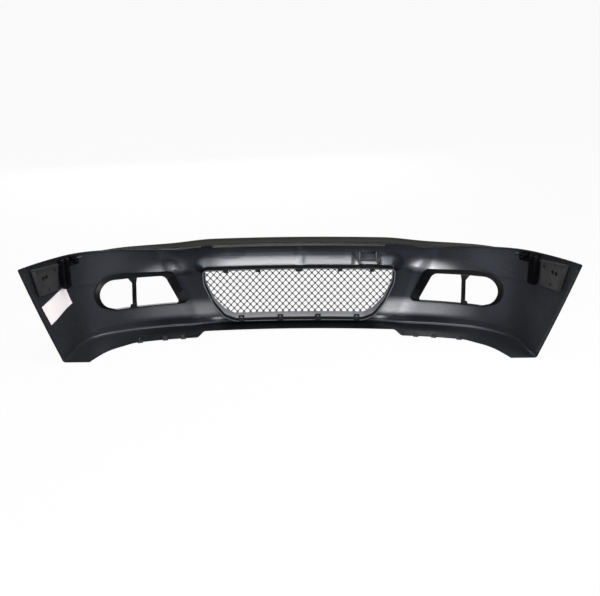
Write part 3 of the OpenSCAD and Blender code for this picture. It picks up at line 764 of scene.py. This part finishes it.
def sheet_piece(name, points):
    """A grid whose corners are points[row, column], in mm."""
    rows, cols = points.shape[:2]
    piece = start(name, bpy.ops.mesh.primitive_grid_add,
                  x_subdivisions=cols - 1, y_subdivisions=rows - 1, size=2)
    flat = corners_of(piece)
    col = np.rint((flat[:, 0] + 1) / 2 * (cols - 1)).astype(int)
    row = np.rint((flat[:, 1] + 1) / 2 * (rows - 1)).astype(int)
    move_corners(piece, points[row, col] * MM)
    return piece


def slab_piece(name, near, far, finishes=()):
    """Two grids with the same border, bridged into one closed wall."""
    pair = [sheet_piece(name, near), sheet_piece(name + "_far", far)]
    for sheet, finish in zip(pair, finishes):
        sheet.data.materials.append(FINISHES[finish])
    slab = joined(name, pair)
    edit(bridged)
    return slab


def ring_piece(name, sections):
    """A torus whose rings are sections[place, corner], in mm."""
    count, corners = sections.shape[:2]
    piece = start(name, bpy.ops.mesh.primitive_torus_add,
                  major_segments=count, minor_segments=corners)
    move_corners(piece, sections.reshape(-1, 3) * MM)
    only(piece)
    edit(outwards)
    return piece


def plug_piece(name, first, last):
    """A closed block between two rings of the same number of points, in mm."""
    count = len(first)
    piece = start(name, bpy.ops.mesh.primitive_cylinder_add, vertices=count, end_fill_type="TRIFAN")
    for v in piece.data.vertices:
        end = np.asarray(first if v.co.z < 0 else last)
        if math.hypot(v.co.x, v.co.y) < 0.5:        # the middle of an end
            v.co = end.mean(0) * MM
        else:
            angle = math.atan2(v.co.x, v.co.y) % (2 * math.pi)
            v.co = end[round(angle / (2 * math.pi) * count) % count] * MM
    piece.data.update()
    only(piece)
    edit(outwards)
    return piece


def block_piece(name, centre, size):
    """A plain block for a cutter, centre and size in mm."""
    piece = start(name, bpy.ops.mesh.primitive_cube_add, size=1)
    piece.data.transform(Matrix.Translation(Vector(centre) * MM)
                         @ Matrix.Diagonal((*(v * MM for v in size), 1)))
    return piece


def rod_piece(name, radius, low, high, sides):
    """A cylinder along Z, sizes in mm."""
    piece = start(name, bpy.ops.mesh.primitive_cylinder_add, vertices=sides, radius=radius * MM,
                  depth=(high - low) * MM)
    piece.data.transform(Matrix.Translation((0, 0, (high + low) / 2 * MM)))
    return piece

# %% [markdown]
# A finished piece is smoothed, painted and tied to the body that it moves
# with, and the imported node that it stands for is hidden. What is the same on
# both sides is modelled on the left and mirrored, and what repeats is modelled
# once and copied to its places.

# %% Finishing and repeating


def finished(piece, finish, body="bumper", stands_for=(), degrees=32):
    """Paint a piece, tie it to its body and hide the imported nodes it stands for."""
    only(piece)
    bpy.ops.object.shade_smooth_by_angle(angle=math.radians(degrees))
    if finish:
        piece.data.materials.clear()
        piece.data.materials.append(FINISHES[finish])
    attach(piece, body)
    if stands_for:
        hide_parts(*stands_for)
    print(piece.name, len(piece.data.polygons), "faces")
    return piece


def rounded_edges(piece, width, segments=2, degrees=40):
    modify(piece, "BEVEL", width=width * MM, segments=segments, limit_method="ANGLE",
           angle_limit=math.radians(degrees))


def both_sides(left, finish, stands_for=None):
    """Finish a left-hand piece and its mirror image on the right."""
    right = mirrored(left, left.name.replace("left", "right"))
    for side, piece in (("left", left), ("right", right)):
        names = (f"{side}_{stands_for}",) if stands_for else ()
        finished(piece, finish, stands_for=names)


def repeated(name, piece, places):
    """Copies of one modelled piece at each place, as one piece with its own mesh."""
    copies = []
    for matrix in places:
        only(piece)
        bpy.ops.object.duplicate()
        bpy.context.object.data.transform(matrix)
        copies.append(bpy.context.object)
    bpy.data.objects.remove(piece)
    return joined(name, copies)


def eased(node, name, finish, slot, width, body="bumper"):
    """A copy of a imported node, merged, with its sharp edges eased and a finish of its own."""
    bpy.ops.object.select_all(action="DESELECT")
    only(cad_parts[node])
    bpy.ops.object.duplicate()
    piece = bpy.context.object
    piece.name = piece.data.name = name
    piece.parent = None
    for key in [key for key in piece.keys() if key.startswith("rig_")]:
        del piece[key]
    edit(lambda: bpy.ops.mesh.remove_doubles(threshold=MERGE),
         lambda: bpy.ops.mesh.dissolve_limited(angle_limit=math.radians(1.5)))
    rounded_edges(piece, width)
    return finished(piece, finish, body, (node,), 40)


def mirrored(piece, name):
    """The same piece on the other side of the car, with its own mesh."""
    only(piece)
    bpy.ops.object.duplicate()
    twin = bpy.context.object
    twin.name = twin.data.name = name
    twin.data.transform(Matrix.Scale(-1, 4, (1, 0, 0)))
    edit(bpy.ops.mesh.flip_normals)
    return twin

# %% [markdown]
# Outlines such as the grille opening or the duct are polygons with a radius
# at each corner. `rounded` walks round one and puts an arc of the same number
# of points at each corner, so that two outlines stay paired point by point.

# %% Outlines


def unit(v):
    """A vector, or each row of an array, at length 1."""
    return v / np.linalg.norm(v, axis=-1, keepdims=True)


def rounded(corners, radii, steps=10):
    """A polygon with an arc of steps parts at each corner."""
    points = np.asarray(corners, float)
    out = []
    for i, r in enumerate(radii):
        a, b, c = points[i - 1], points[i], points[(i + 1) % len(points)]
        u, v = unit(a - b), unit(c - b)
        half = math.acos(np.clip(u @ v, -1, 1)) / 2
        d, m = r / math.tan(half), b + unit(u + v) * r / math.sin(half)
        p, q = b + u * d - m, b + v * d - m
        w = math.acos(min(1.0, (p @ q) / (r * r)))
        out += [m + (math.sin(w * (1 - k / steps)) * p + math.sin(w * k / steps) * q) / math.sin(w)
                for k in range(steps + 1)]
    return np.array(out)


def whole(half_corners, radii):
    """An outline from its right half; the rest is its mirror image."""
    other = [(-x, z) for x, z in reversed(half_corners)]
    return rounded([*half_corners, *other], [*radii, *reversed(radii)])


def inset(outline, d):
    """Move an anticlockwise outline outwards by d (inwards where d < 0)."""
    w = unit(unit(np.roll(outline, -1, 0) - outline) + unit(outline - np.roll(outline, 1, 0)))
    return outline + d * np.stack([w[:, 1], -w[:, 0]], -1)


def filled(outlines, step):
    """Split the long sides of paired outlines at the same shares."""
    first = outlines[0]
    out = [[] for _ in outlines]
    for i in range(len(first)):
        j = (i + 1) % len(first)
        parts = max(1, math.ceil(np.linalg.norm(first[j] - first[i]) / step))
        for k in range(parts):
            for line, o in zip(out, outlines):
                line.append(o[i] + (o[j] - o[i]) * k / parts)
    return [np.array(line) for line in out]


HALF_W, COLLAR_TOP, COLLAR_BOT, COLLAR_BACK, COLLAR_WALL = 344, 218, 20, 37, 3.5
collar_out = whole([(HALF_W - 112, COLLAR_BOT), (HALF_W - 72, COLLAR_BOT + 18),
                    (HALF_W - 35, COLLAR_BOT + 69), (HALF_W - 3, COLLAR_TOP - 53),
                    (HALF_W, COLLAR_TOP)], (60, 50, 120, 60, 14))
MESH_W, MESH_TOP, MESH_BOT = HALF_W - 9, COLLAR_TOP - 12, COLLAR_BOT + 24
mesh_line = whole([(MESH_W - 100, MESH_BOT), (MESH_W - 66, MESH_BOT + 18),
                   (MESH_W - 28, MESH_BOT + 63), (MESH_W - 1.5, MESH_TOP - 36),
                   (MESH_W, MESH_TOP)], (30, 50, 100, 60, 6))
bezel_line = rounded([(400, 90), (452, 213), (625, 216), (706, 211), (743, 160), (723, 109),
                      (664, 87)], (12, 34, 200, 62, 54, 50, 60))
duct_line = rounded([(432, 96), (483, 206), (625, 208), (694, 205), (727, 160), (709, 111),
                     (660, 92)], (9, 27, 200, 56, 48, 52, 60))
print("outlines of", len(collar_out), "and", len(bezel_line), "points")

# %% [markdown]
# The hollow side is not quite smooth. It has a sink mark over the grille, a
# shallow pad, a swell over each duct and a low rib towards each bracket. They
# are small additions to the wall's depth. The other helpers here put outlines,
# patches and fixings on the face.

# %% Places on the shell
SINK, PAD, SWELL, RIB = 2.2, 0.5, 9.0, 1.4      # how far each stands off the wall, in mm


def moulded_in(run, z):
    """Low shapes on the hollow side only: sink mark, shallow pad, duct swells and side ribs."""
    x = run + 5.0
    width = 5.0 + 5.0 * np.clip((282 - z) / 62, 0, 1)
    dimple = np.exp(-(x / width) ** 2) * ease((z - 214) / 16) * ease((286 - z) / 12)
    pad = ease((run - 216) / 3) * ease((279 - run) / 3) * ease((z - 243) / 3) * ease((283 - z) / 3)
    q = np.abs(run)
    along = ease((q - 330) / 130) * (1 - ease((q - 470) / 190))
    swell = along * np.clip((256 - z) / 40, 0, 1.1) ** 1.5 * ease((z - 180) / 34)
    belt = 196 + 40 * np.clip((q - 680) / 240, 0, 1) ** 1.5      # climbs towards the bracket
    rib = np.exp(-((z - belt) / 6) ** 2) * ease((q - 655) / 20) * (1 - ease((q - 835) / 50))
    return SINK * dimple + PAD * pad + SWELL * swell + RIB * rib


def patch(corners, depth, rows, cols, over):
    """Grid of points over a four-cornered patch [run, height], over(run, height) deeper."""
    c = np.asarray(corners, float)
    u, v = np.meshgrid(np.linspace(0, 1, cols), np.linspace(0, 1, rows))
    u, v = u[..., None], v[..., None]
    p = (1 - u) * (1 - v) * c[0] + u * (1 - v) * c[1] + u * v * c[2] + (1 - u) * v * c[3]
    run, z = p[..., 0], p[..., 1]
    return place(run, z, face_o(run, z) + depth + over(run, z))


def seat(run, z):
    """Matrix of a fixing that stands on the hollow side at [run, z]."""
    q = abs(run)
    lean = math.atan((float(face_o(q, z - 2)) - float(face_o(q, z + 2))) / 4)
    angle = math.copysign(float(arc_at(q)[1]), run)
    point = Vector(place(run, z, face_o(run, z) + WALL)[0]) * MM
    return (Matrix.Translation(point) @ Matrix.Rotation(angle, 4, "Z")
            @ Matrix.Rotation(lean - math.pi / 2, 4, "X"))


def on_face(outline, depth):
    """A ring of points that follows an outline [run, height] at a depth from the shell's face."""
    run, z = outline.T
    return place(run, z, face_o(run, z) + depth)


def crown_ring(outline, back):
    """A ring of points that follows an outline [x, height] behind the crown of the nose."""
    return np.stack([outline[:, 0], crown_y(outline[:, 0], back), outline[:, 1]], -1)

# %% [markdown]
# The openings are cut by one cutter, which is made of a plug for each of them:
# the grille, the ducts, the towing-eye cover's window, the notches, and the
# holes for clips, nuts and a pilot screw.

# %% Openings
TOW = np.array([-248.0, 248.0])
TOW_W, TOW_H, FIT = 58.0, 36.0, 0.4
NOTCH_AT, NOTCH_SIZE = (322, -137, 320), (40, 60, 80)
CLIP_HOLES, CLIP_HOLE_R = [(x, -173, 320) for x in (-240, -80, 80, 240)], 4.25
NUT_HOLES, NUT_HOLE_R = [(410.58, -72.10, 5), (472.80, -61.25, 5), (559.67, -40.11, 5)], 3.5
PILOT_AT, PILOT_ALONG, PILOT_R = (-358.228, -222.445, 241.077), (0.112135, 0.9915, -0.065979), 2.5


def box_line(centre, w, h, r):
    (x, z), w, h = centre, w / 2, h / 2
    return rounded([(x - w, z - h), (x + w, z - h), (x + w, z + h), (x - w, z + h)], [r] * 4, 6)


def round_cutter(centre, direction, radius, length):
    piece = start("cut_hole", bpy.ops.mesh.primitive_cylinder_add, vertices=40,
                  radius=radius * MM, depth=length * MM)
    turned = Vector(direction).to_track_quat("Z", "Y").to_matrix().to_4x4()
    piece.data.transform(Matrix.Translation(Vector(centre) * MM) @ turned)
    return piece


def make_cutters():
    """One cutter for all the shell's openings and holes."""
    up = (0, 0, 1)
    inner = filled([inset(collar_out, -COLLAR_WALL)], 25)[0]
    cutters = [plug_piece("cut_grille", crown_ring(inner, -60), crown_ring(inner, 60))]
    duct = filled([bezel_line], 18)[0]
    left = plug_piece("cut_duct", on_face(duct, -60), on_face(duct, 30))
    cutters += [left, mirrored(left, "cut_duct_right")]
    tow = filled([box_line(TOW, TOW_W + 2 * FIT, TOW_H + 2 * FIT, 4)], 12)[0]
    cutters.append(plug_piece("cut_tow", on_face(tow, -12), on_face(tow, 14)))
    x, y, z = NOTCH_AT
    cutters += [block_piece("cut_notch", (sign * x, y, z), NOTCH_SIZE) for sign in (-1, 1)]
    cutters += [round_cutter(hole, up, CLIP_HOLE_R, 40) for hole in CLIP_HOLES]
    cutters += [round_cutter((sign * x, y, z), up, NUT_HOLE_R, 20)
                for x, y, z in NUT_HOLES for sign in (-1, 1)]
    cutters.append(round_cutter(PILOT_AT, PILOT_ALONG, PILOT_R, 20))
    return joined("cutters", cutters)

# %% [markdown]
# The shell is two grids, the show side and the hollow side, 3 mm apart. They
# are joined and bridged round their open border, and the openings are cut with
# the Boolean modifier. On the top flange, behind a set depth, the show side
# takes the darkest black finish instead of the grey one.

# %% Shell
DARK_FLANGE_DEPTH = 46                        # mm behind the nose's crown, where the flange's show side turns black
DARK_FLANGE_LOW, DARK_FLANGE_WIDE = 0.290, 0.420    # it does so above this height, within this half width, m
FOOT_TOP, RETURN_TOP = 0.030, 0.011     # the foot's finish on the hollow side lies between these


def shell_finish(face, half):
    """Which of the shell's finishes a face gets; the hollow side's corners come after half."""
    x, y, z = face.center
    if min(face.vertices) < half <= max(face.vertices):      # the rim joins both sides
        return "clip"
    if max(face.vertices) < half:
        behind = y / MM - crown_y(x / MM) > DARK_FLANGE_DEPTH
        return "rail" if behind and z > DARK_FLANGE_LOW and abs(x) < DARK_FLANGE_WIDE else "outside"
    if z < FOOT_TOP and not (z < RETURN_TOP and abs(face.normal.z) < 0.9):
        return "foot"
    return "inside"


def make_shell():
    finishes = ["outside", "inside", "clip", "foot", "rail"]
    shell = slab_piece("bumper_shell", shell_points(0.2), shell_points(WALL, moulded_in),
                       finishes[:2])
    for finish in finishes[2:]:
        shell.data.materials.append(FINISHES[finish])
    half = len(shell.data.vertices) // 2
    for face in shell.data.polygons:
        face.material_index = finishes.index(shell_finish(face, half))
    cut(shell, make_cutters())
    finished(shell, None, stands_for=("bumper_skin",))


make_shell()

# %% [markdown]
# A raised collar round the grille opening holds the insert, and a return
# stiffens the wheel-arch edge. Both grow out of the shell's hollow side, so
# they start inside its wall. A small bevel lets their free edges catch a light
# line, and the collar's rear edge is also painted pale grey, a painted highlight.

# %% Collar and arch returns
SWEEP_STEPS, SWEEP_SHINE = 12, 0.205    # above this height, in m, the sweep has the wall's finish
ARCH_ROWS, ARCH_TOP, ARCH_FOOT = 70, 345, 26


def face_ring(outline, depth):
    """A ring of points under a grille outline [x, z], at a depth from the shell's face."""
    return crown_ring(outline, face_o(outline[:, 0], outline[:, 1]) + depth)


def sweep(line):
    """How far up the face the collar's root runs out, and how far it stands off the face."""
    x, z = line[:, :1], line[:, 1:]
    beside = 1 - ease((np.abs(x - TOW[0]) - 31) / 18)      # less room for it under the towing cover
    high = ease((z - 190) / 26)
    return 6 + high * (44 - 38.5 * beside), 6 + high * (9 - 11.4 * beside)


def banded(piece, corners, main, others, above=-1.0):
    """Give the strips of a ring piece between these pairs of corners a finish of their own."""
    piece.data.materials.append(FINISHES[main])
    for index, (finish, strips) in enumerate(others.items(), 1):
        piece.data.materials.append(FINISHES[finish])
        for face in piece.data.polygons:
            in_reach = finish != "inside" or face.center.z > above
            if in_reach and {v % corners for v in face.vertices} in strips:
                face.material_index = index


def make_collar():
    outer, inner = filled([collar_out, inset(collar_out, -COLLAR_WALL)], 12)
    out = unit(inset(outer, 1) - outer)
    reach, rise = sweep(outer)
    rings = [crown_ring(outer, COLLAR_BACK), crown_ring(inner, COLLAR_BACK),
             face_ring(inner, WALL - 0.3)]
    for u in np.arange(SWEEP_STEPS + 1) / SWEEP_STEPS:      # from the face back up to the collar
        line = outer + out * reach * (1 - u)
        hollow = WALL + moulded_in(line[:, 0], line[:, 1])
        rings.append(face_ring(line, hollow - 0.25 * (1 - u) + rise[:, 0] * u ** 1.5))
    collar = ring_piece("grille_collar", np.stack(rings, 1))
    count = len(rings)
    swept = [{k, k + 1} for k in range(3, count - 1)]
    # the rear edge strip is painted pale, a painted highlight line
    banded(collar, count, "collar", {"edge": [{0, 1}], "inside": swept}, SWEEP_SHINE)
    rounded_edges(collar, 1.0, 3, 65)
    finished(collar, None)


def make_arch_returns():
    near, far = np.empty((ARCH_ROWS, 6, 3)), np.empty((ARCH_ROWS, 6, 3))
    for j, z in enumerate(np.linspace(ARCH_TOP, ARCH_FOOT, ARCH_ROWS)):
        run = bisected(lambda mid: place(mid, z, face_o(mid, z))[0, 1] < arch_y(z))
        depths = face_o(run, z) + np.linspace(1.2, 14, 6)
        near[j], far[j] = place(run - 1, z, depths), place(run - 4, z, depths)
    left = slab_piece("left_arch_return", near, far)
    rounded_edges(left, 0.9, 2, 50)
    both_sides(left, "inside")


make_collar()
make_arch_returns()

# %% [markdown]
# Screws go into bosses: short hollow posts that stand square to the wall. One
# post is modelled at the origin from a cylinder, its end inset and pushed in,
# and a copy is then stood on the hollow side at each place.

# %% Bosses
BOSSES = [(1040, 326), (935, 304), (985, 256), (887, 252), (887, 324), (814, 305), (842, 316)]
BOSS_H, BOSS_R, BOSS_ROOT = 8.0, 5.0, 1.2       # the root lies inside the wall
PILOT_HOLE_R, PILOT_DEPTH = 2.1, 7.5


def pick_top(piece):
    """Enter edit mode with the flat end selected that looks up along Z."""
    high = max(v.co.z for v in piece.data.vertices) - MERGE
    pick_faces(piece, lambda face: face.normal.z > 0.9 and all(
        piece.data.vertices[v].co.z > high for v in face.vertices))


def make_bosses():
    boss = rod_piece("boss", BOSS_R, -BOSS_ROOT, BOSS_H, 32)
    pick_top(boss)
    bpy.ops.mesh.inset(thickness=(BOSS_R - PILOT_HOLE_R) * MM)
    bpy.ops.mesh.extrude_region_move(TRANSFORM_OT_translate={"value": (0, 0, -PILOT_DEPTH * MM)})
    bpy.ops.object.mode_set(mode="OBJECT")
    rounded_edges(boss, 0.5, 2, 50)
    left = repeated("left_bosses", boss, [seat(*b) for b in BOSSES])
    both_sides(left, "inside")


make_bosses()

# %% [markdown]
# The insert is a funnel of pale plastic that leads from the collar down to
# the mesh. A groove runs round it just inside the collar; the groove and the
# funnel's outer wall get the black clip finish, painted shade that shows as a
# dark line. Its section is seven corners, and a torus carries it round the
# outline, because the outline has no straight axis that a spin or an extrude
# could follow.

# %% Grille funnel


def make_funnel():
    g, m = filled([inset(collar_out, -COLLAR_WALL - FIT), mesh_line], 12)
    rear, mid, front, groove = COLLAR_BACK - 0.5, 8.0, 5.0, 9.0
    span = np.linalg.norm(g - m, axis=1)[:, None]

    def inward(distance, share):
        return g + (m - g) * np.minimum(share, distance / span)

    step, crest = inward(6.0, 0.45), inward(8.0, 0.6)
    slope = (rear - mid) / span[:, 0]
    top = rear - slope * np.linalg.norm(crest - g, axis=1) * 0.9
    corners = [(g, rear - groove), (step, rear - groove), (step, top - 1), (crest, top),
               (m, mid), (m, front), (g, front)]
    rings = [crown_ring(outline, back) for outline, back in corners]
    funnel = ring_piece("grille_funnel", np.stack(rings, 1))
    # the groove's faces and the outer wall get the black clip finish: painted shade
    banded(funnel, len(rings), "funnel", {"clip": [{0, 1}, {1, 2}, {0, 6}]})
    rounded_edges(funnel, 0.6, 2, 50)
    finished(funnel, None, stands_for=("grille_frame",))


make_funnel()

# %% [markdown]
# The mesh repeats one diamond cell. A torus gives the cell its closed ring of
# faces: front, hole and back, with the strand's edges eased. Its outer wall is
# deleted, because a neighbour takes its place. Two Array modifiers repeat the
# cell, a Boolean trims the lattice to the funnel's edge, so that each strand
# ends behind the frame, and last it is bowed to the crown of the nose.

# %% Grille mesh
PITCH_X, PITCH_Z, STRAND, MESH_T, MESH_REAR = 23.5, 26.0, 4.2, 5.0, 4.9
CELL_SIDES, CELL_EASE = 12, 1.2
CELL_POWER = 1.28       # 1 is a sharp diamond, 2 an ellipse


def mesh_cell():
    """One diamond cell round the origin, lying along Y."""
    around = np.radians(np.arange(CELL_SIDES) * 360 / CELL_SIDES)
    c, n = np.cos(around), np.sin(around)

    def outline(w, h, power):
        reach = (np.abs(c) ** power + np.abs(n) ** power) ** (-1 / power)
        return np.stack([w * c * reach, h * n * reach], -1)

    outer = outline(PITCH_X / 2, PITCH_Z / 2, 1)
    hole = outline(PITCH_X / 2 - STRAND / 2 * math.hypot(1, PITCH_X / PITCH_Z),
                   PITCH_Z / 2 - STRAND / 2 * math.hypot(1, PITCH_Z / PITCH_X), CELL_POWER)
    edge = hole + (outer - hole) * 0.35
    levels = [(outer, 0), (edge, 0), (hole, CELL_EASE), (hole, MESH_T - CELL_EASE),
              (edge, MESH_T), (outer, MESH_T)]
    rings = [np.stack([line[:, 0], np.full(CELL_SIDES, -y), line[:, 1]], -1) for line, y in levels]
    cell = ring_piece("grille_lattice", np.stack(rings, 1))
    last = len(levels) - 1
    pick_faces(cell, lambda face: {v % len(levels) for v in face.vertices} == {0, last})
    bpy.ops.mesh.delete(type="FACE")
    bpy.ops.object.mode_set(mode="OBJECT")
    return cell


def make_mesh():
    middle = (MESH_TOP + MESH_BOT) / 2
    across = math.ceil(MESH_W / PITCH_X) + 1
    up = math.ceil((MESH_TOP - MESH_BOT) / 2 / PITCH_Z) + 1
    first = Matrix.Translation((-across * PITCH_X * MM, 0, (middle - up * PITCH_Z) * MM))
    half = Matrix.Translation((PITCH_X / 2 * MM, 0, PITCH_Z / 2 * MM))
    lattice = repeated("grille_lattice", mesh_cell(), [first, half @ first])
    for count, offset in ((2 * across + 1, (PITCH_X * MM, 0, 0)),
                          (2 * up + 1, (0, 0, PITCH_Z * MM))):
        modify(lattice, "ARRAY", count=count, use_relative_offset=False, use_constant_offset=True,
               constant_offset_displace=offset)
    edit(lambda: bpy.ops.mesh.remove_doubles(threshold=MESH_MERGE), bridged)

    room = inset(collar_out, -COLLAR_WALL - FIT - 0.4)
    share = np.minimum(1, 6 / np.linalg.norm(room - mesh_line, axis=1))[:, None]
    rim = filled([mesh_line + (room - mesh_line) * share], 25)[0]
    ahead = np.stack([rim[:, 0], np.full(len(rim), -30.0), rim[:, 1]], -1)
    cut(lattice, plug_piece("mesh_trim", ahead, ahead + [0, 60, 0]), "INTERSECT")
    points = corners_of(lattice)
    points[:, 1] += crown_y(points[:, 0] / MM, MESH_REAR) * MM
    move_corners(lattice, points)
    finished(lattice, "mesh", stands_for=("grille_mesh",), degrees=50)


make_mesh()

# %% [markdown]
# Each duct has a surround: a funnel with a lip that seats on the hollow side
# and a rim that stands back round the opening, deeper near the grille. It is
# a closed frame like the grille's, so it is made the same way. The left one is
# modelled and the right one is its mirror image. The upright bar is a slab
# that follows the rim, with a foot that hooks over it at each end.

# %% Duct surrounds and dividers
DUCT_DEPTH, RIM_LEAST, DUCT_WALL, LIP_OFF = 38.0, 8, 3.0, WALL + 0.35
BAR_RUN, BAR_W = 594.0, 15.0


def rim_depth(q, z):
    """How far the rim stands back from the shell's face: deepest near the grille, at the top."""
    share = ease((750 - q) / 130) * (0.35 + 0.65 * ease((z - 95) / 110))
    return WALL + RIM_LEAST + (DUCT_DEPTH - RIM_LEAST) * share


def make_bezels():
    outer, hole = filled([bezel_line, duct_line], 12)     # these run clockwise
    body, mouth, lip = inset(outer, FIT), inset(outer, FIT + DUCT_WALL), inset(outer, -3)
    rim, back = inset(hole, -DUCT_WALL), rim_depth(hole[:, 0], hole[:, 1])
    corners = [(mouth, 1), (hole, back), (rim, back), (body, LIP_OFF + 2), (lip, LIP_OFF + 2),
               (lip, LIP_OFF), (body, LIP_OFF), (body, 1)]
    rings = [on_face(outline, depth) for outline, depth in corners]
    bezel = ring_piece("left_duct_surround", np.stack(rings, 1))
    rounded_edges(bezel, 0.7, 2, 50)
    both_sides(bezel, "bezel", "duct_bezel")


def make_dividers():
    left, right, low, top = BAR_RUN - BAR_W / 2, BAR_RUN + BAR_W / 2, 94.1, 206.4
    shapes = [  # corners, depths from the rim, rows, columns
        ([(left, low), (right, low), (right, top), (left, top)], (-8, 0.35), 14, 3),
        ([(left, low - 3), (BAR_RUN + 20, low - 3), (BAR_RUN + 16, low + 12), (left, low + 18)],
         (0.3, 3), 5, 5),
        ([(left, top - 16), (right + 2, top - 16), (BAR_RUN + 24, top + 3),
          (BAR_RUN - 11, top + 3)], (0.3, 3), 5, 5)]
    pieces = []
    for corners, depths, rows, cols in shapes:
        near, far = (patch(corners, depth, rows, cols, rim_depth) for depth in depths)
        pieces.append(slab_piece("bar", near, far))
        rounded_edges(pieces[-1], 0.8, 2, 50)
    both_sides(joined("left_duct_bar", pieces), "bezel", "duct_divider")


make_bezels()
make_dividers()

# %% [markdown]
# The clips, brackets, guides and spring nuts have their real shape in the
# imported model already. What they lack is the eased edge that a pressed or
# moulded part has, which catches the light. A copy of each is merged, its flat
# faces are dissolved back to single faces, and its edges are bevelled.

# %% Clips, brackets, guides and nuts
PAIRS = [  # on each side: node, finish, slot, bevel in mm
    ("side_bracket", "bracket", "bracket_plastic", 0.6),
    ("bracket_rail", "rail", "bracket_plastic", 0.6),
    ("lamp_bracket", "rail", "bracket_plastic", 0.5),
    ("undertray_nuts", "nut", "nut_steel", 0.3),
]
for node in ("grille_top_clips", "grille_bottom_clips"):
    eased(node, node + "_eased", "clip", "clip_plastic", 0.4)
for kind, *look in PAIRS:
    for side in ("left_", "right_"):
        eased(side + kind, side + kind + "_eased", *look)
cover = eased("tow_eye_cover", "tow_cover", "inside", "bumper_plastic", 0.5, body="towing_cover")
cover.data.materials.append(FINISHES["outside"])
for face in cover.data.polygons:
    if face.normal.y < -0.3:
        face.material_index = 1

# %% [markdown]
# The screws have pan heads with a cross recess. One is modelled from two
# cylinders: the head, whose rim is rounded by a bevel and whose recess is cut
# by two crossed bars, and the shank. A copy goes to every boss.

# %% Screws
SCREW_R, PLATE_GAP, PLATE_T = 2.0, 0.5, 2.5
SCREW_SEAT = BOSS_H + PLATE_GAP + PLATE_T + FIT
HEAD_R, HEAD_H = 4.25, 2.6
RECESS_LONG, RECESS_WIDE, RECESS_TALL = 4.4, 0.9, 2.4


def make_screw():
    head = rod_piece("screw_head", HEAD_R, SCREW_SEAT, SCREW_SEAT + HEAD_H, 24)
    pick_top(head)
    bpy.ops.mesh.bevel(offset=HEAD_H / 2 * MM, segments=4)
    bpy.ops.object.mode_set(mode="OBJECT")
    for size in ((RECESS_LONG, RECESS_WIDE), (RECESS_WIDE, RECESS_LONG)):
        bar = block_piece("recess_bar", (0, 0, SCREW_SEAT + HEAD_H), (*size, RECESS_TALL))
        cut(head, bar, solver="EXACT")
    shank = rod_piece("screw_shank", SCREW_R, 2, SCREW_SEAT, 20)
    return joined("screw", [head, shank])


screws = repeated("left_screws", make_screw(), [seat(*b) for b in BOSSES])
both_sides(screws, "screw", "bracket_screws")

# %% [markdown]
# The two free holes in each bracket have a rubber ring pressed round them. The
# ring is half a torus, cut level with the plate.

# %% Grommets
RING_R, RING_T = 5.0, 1.5
FREE_HOLES = [(987, 298), (1006, 298)]


def make_grommet():
    ring = start("grommet", bpy.ops.mesh.primitive_torus_add, major_radius=RING_R * MM,
                 minor_radius=RING_T * MM, major_segments=32, minor_segments=12)
    edit(lambda: bpy.ops.mesh.bisect(plane_co=(0, 0, -0.2 * MM), plane_no=(0, 0, -1),
                                     clear_outer=True, use_fill=True))
    ring.data.transform(Matrix.Translation((0, 0, SCREW_SEAT * MM)))
    return ring


grommets = repeated("left_grommets", make_grommet(), [seat(*hole) for hole in FREE_HOLES])
both_sides(grommets, "rail")

# %% [markdown]
# A paper label is stuck on the left wing. It is left blank. Paper never lies
# quite flat on a curved wall, so one corner is lifted a little.

# %% Label
LABEL = [(1032, 209), (1002, 138), (843, 159), (873, 230)]
LABEL_OFF, LABEL_T, LABEL_CURL = 0.3, 0.3, 2.5


def curl(q, z):
    """Lifts the label's lower corner nearest the duct."""
    return LABEL_CURL * ease((880 - q) / 40) * ease((175 - z) / 30)


def make_label():
    near, far = (patch(LABEL, WALL + off, 14, 30, curl) for off in (LABEL_OFF, LABEL_OFF + LABEL_T))
    label = slab_piece("blank_label", near, far)
    finished(label, "paper", stands_for=("paper_label",), degrees=60)


make_label()
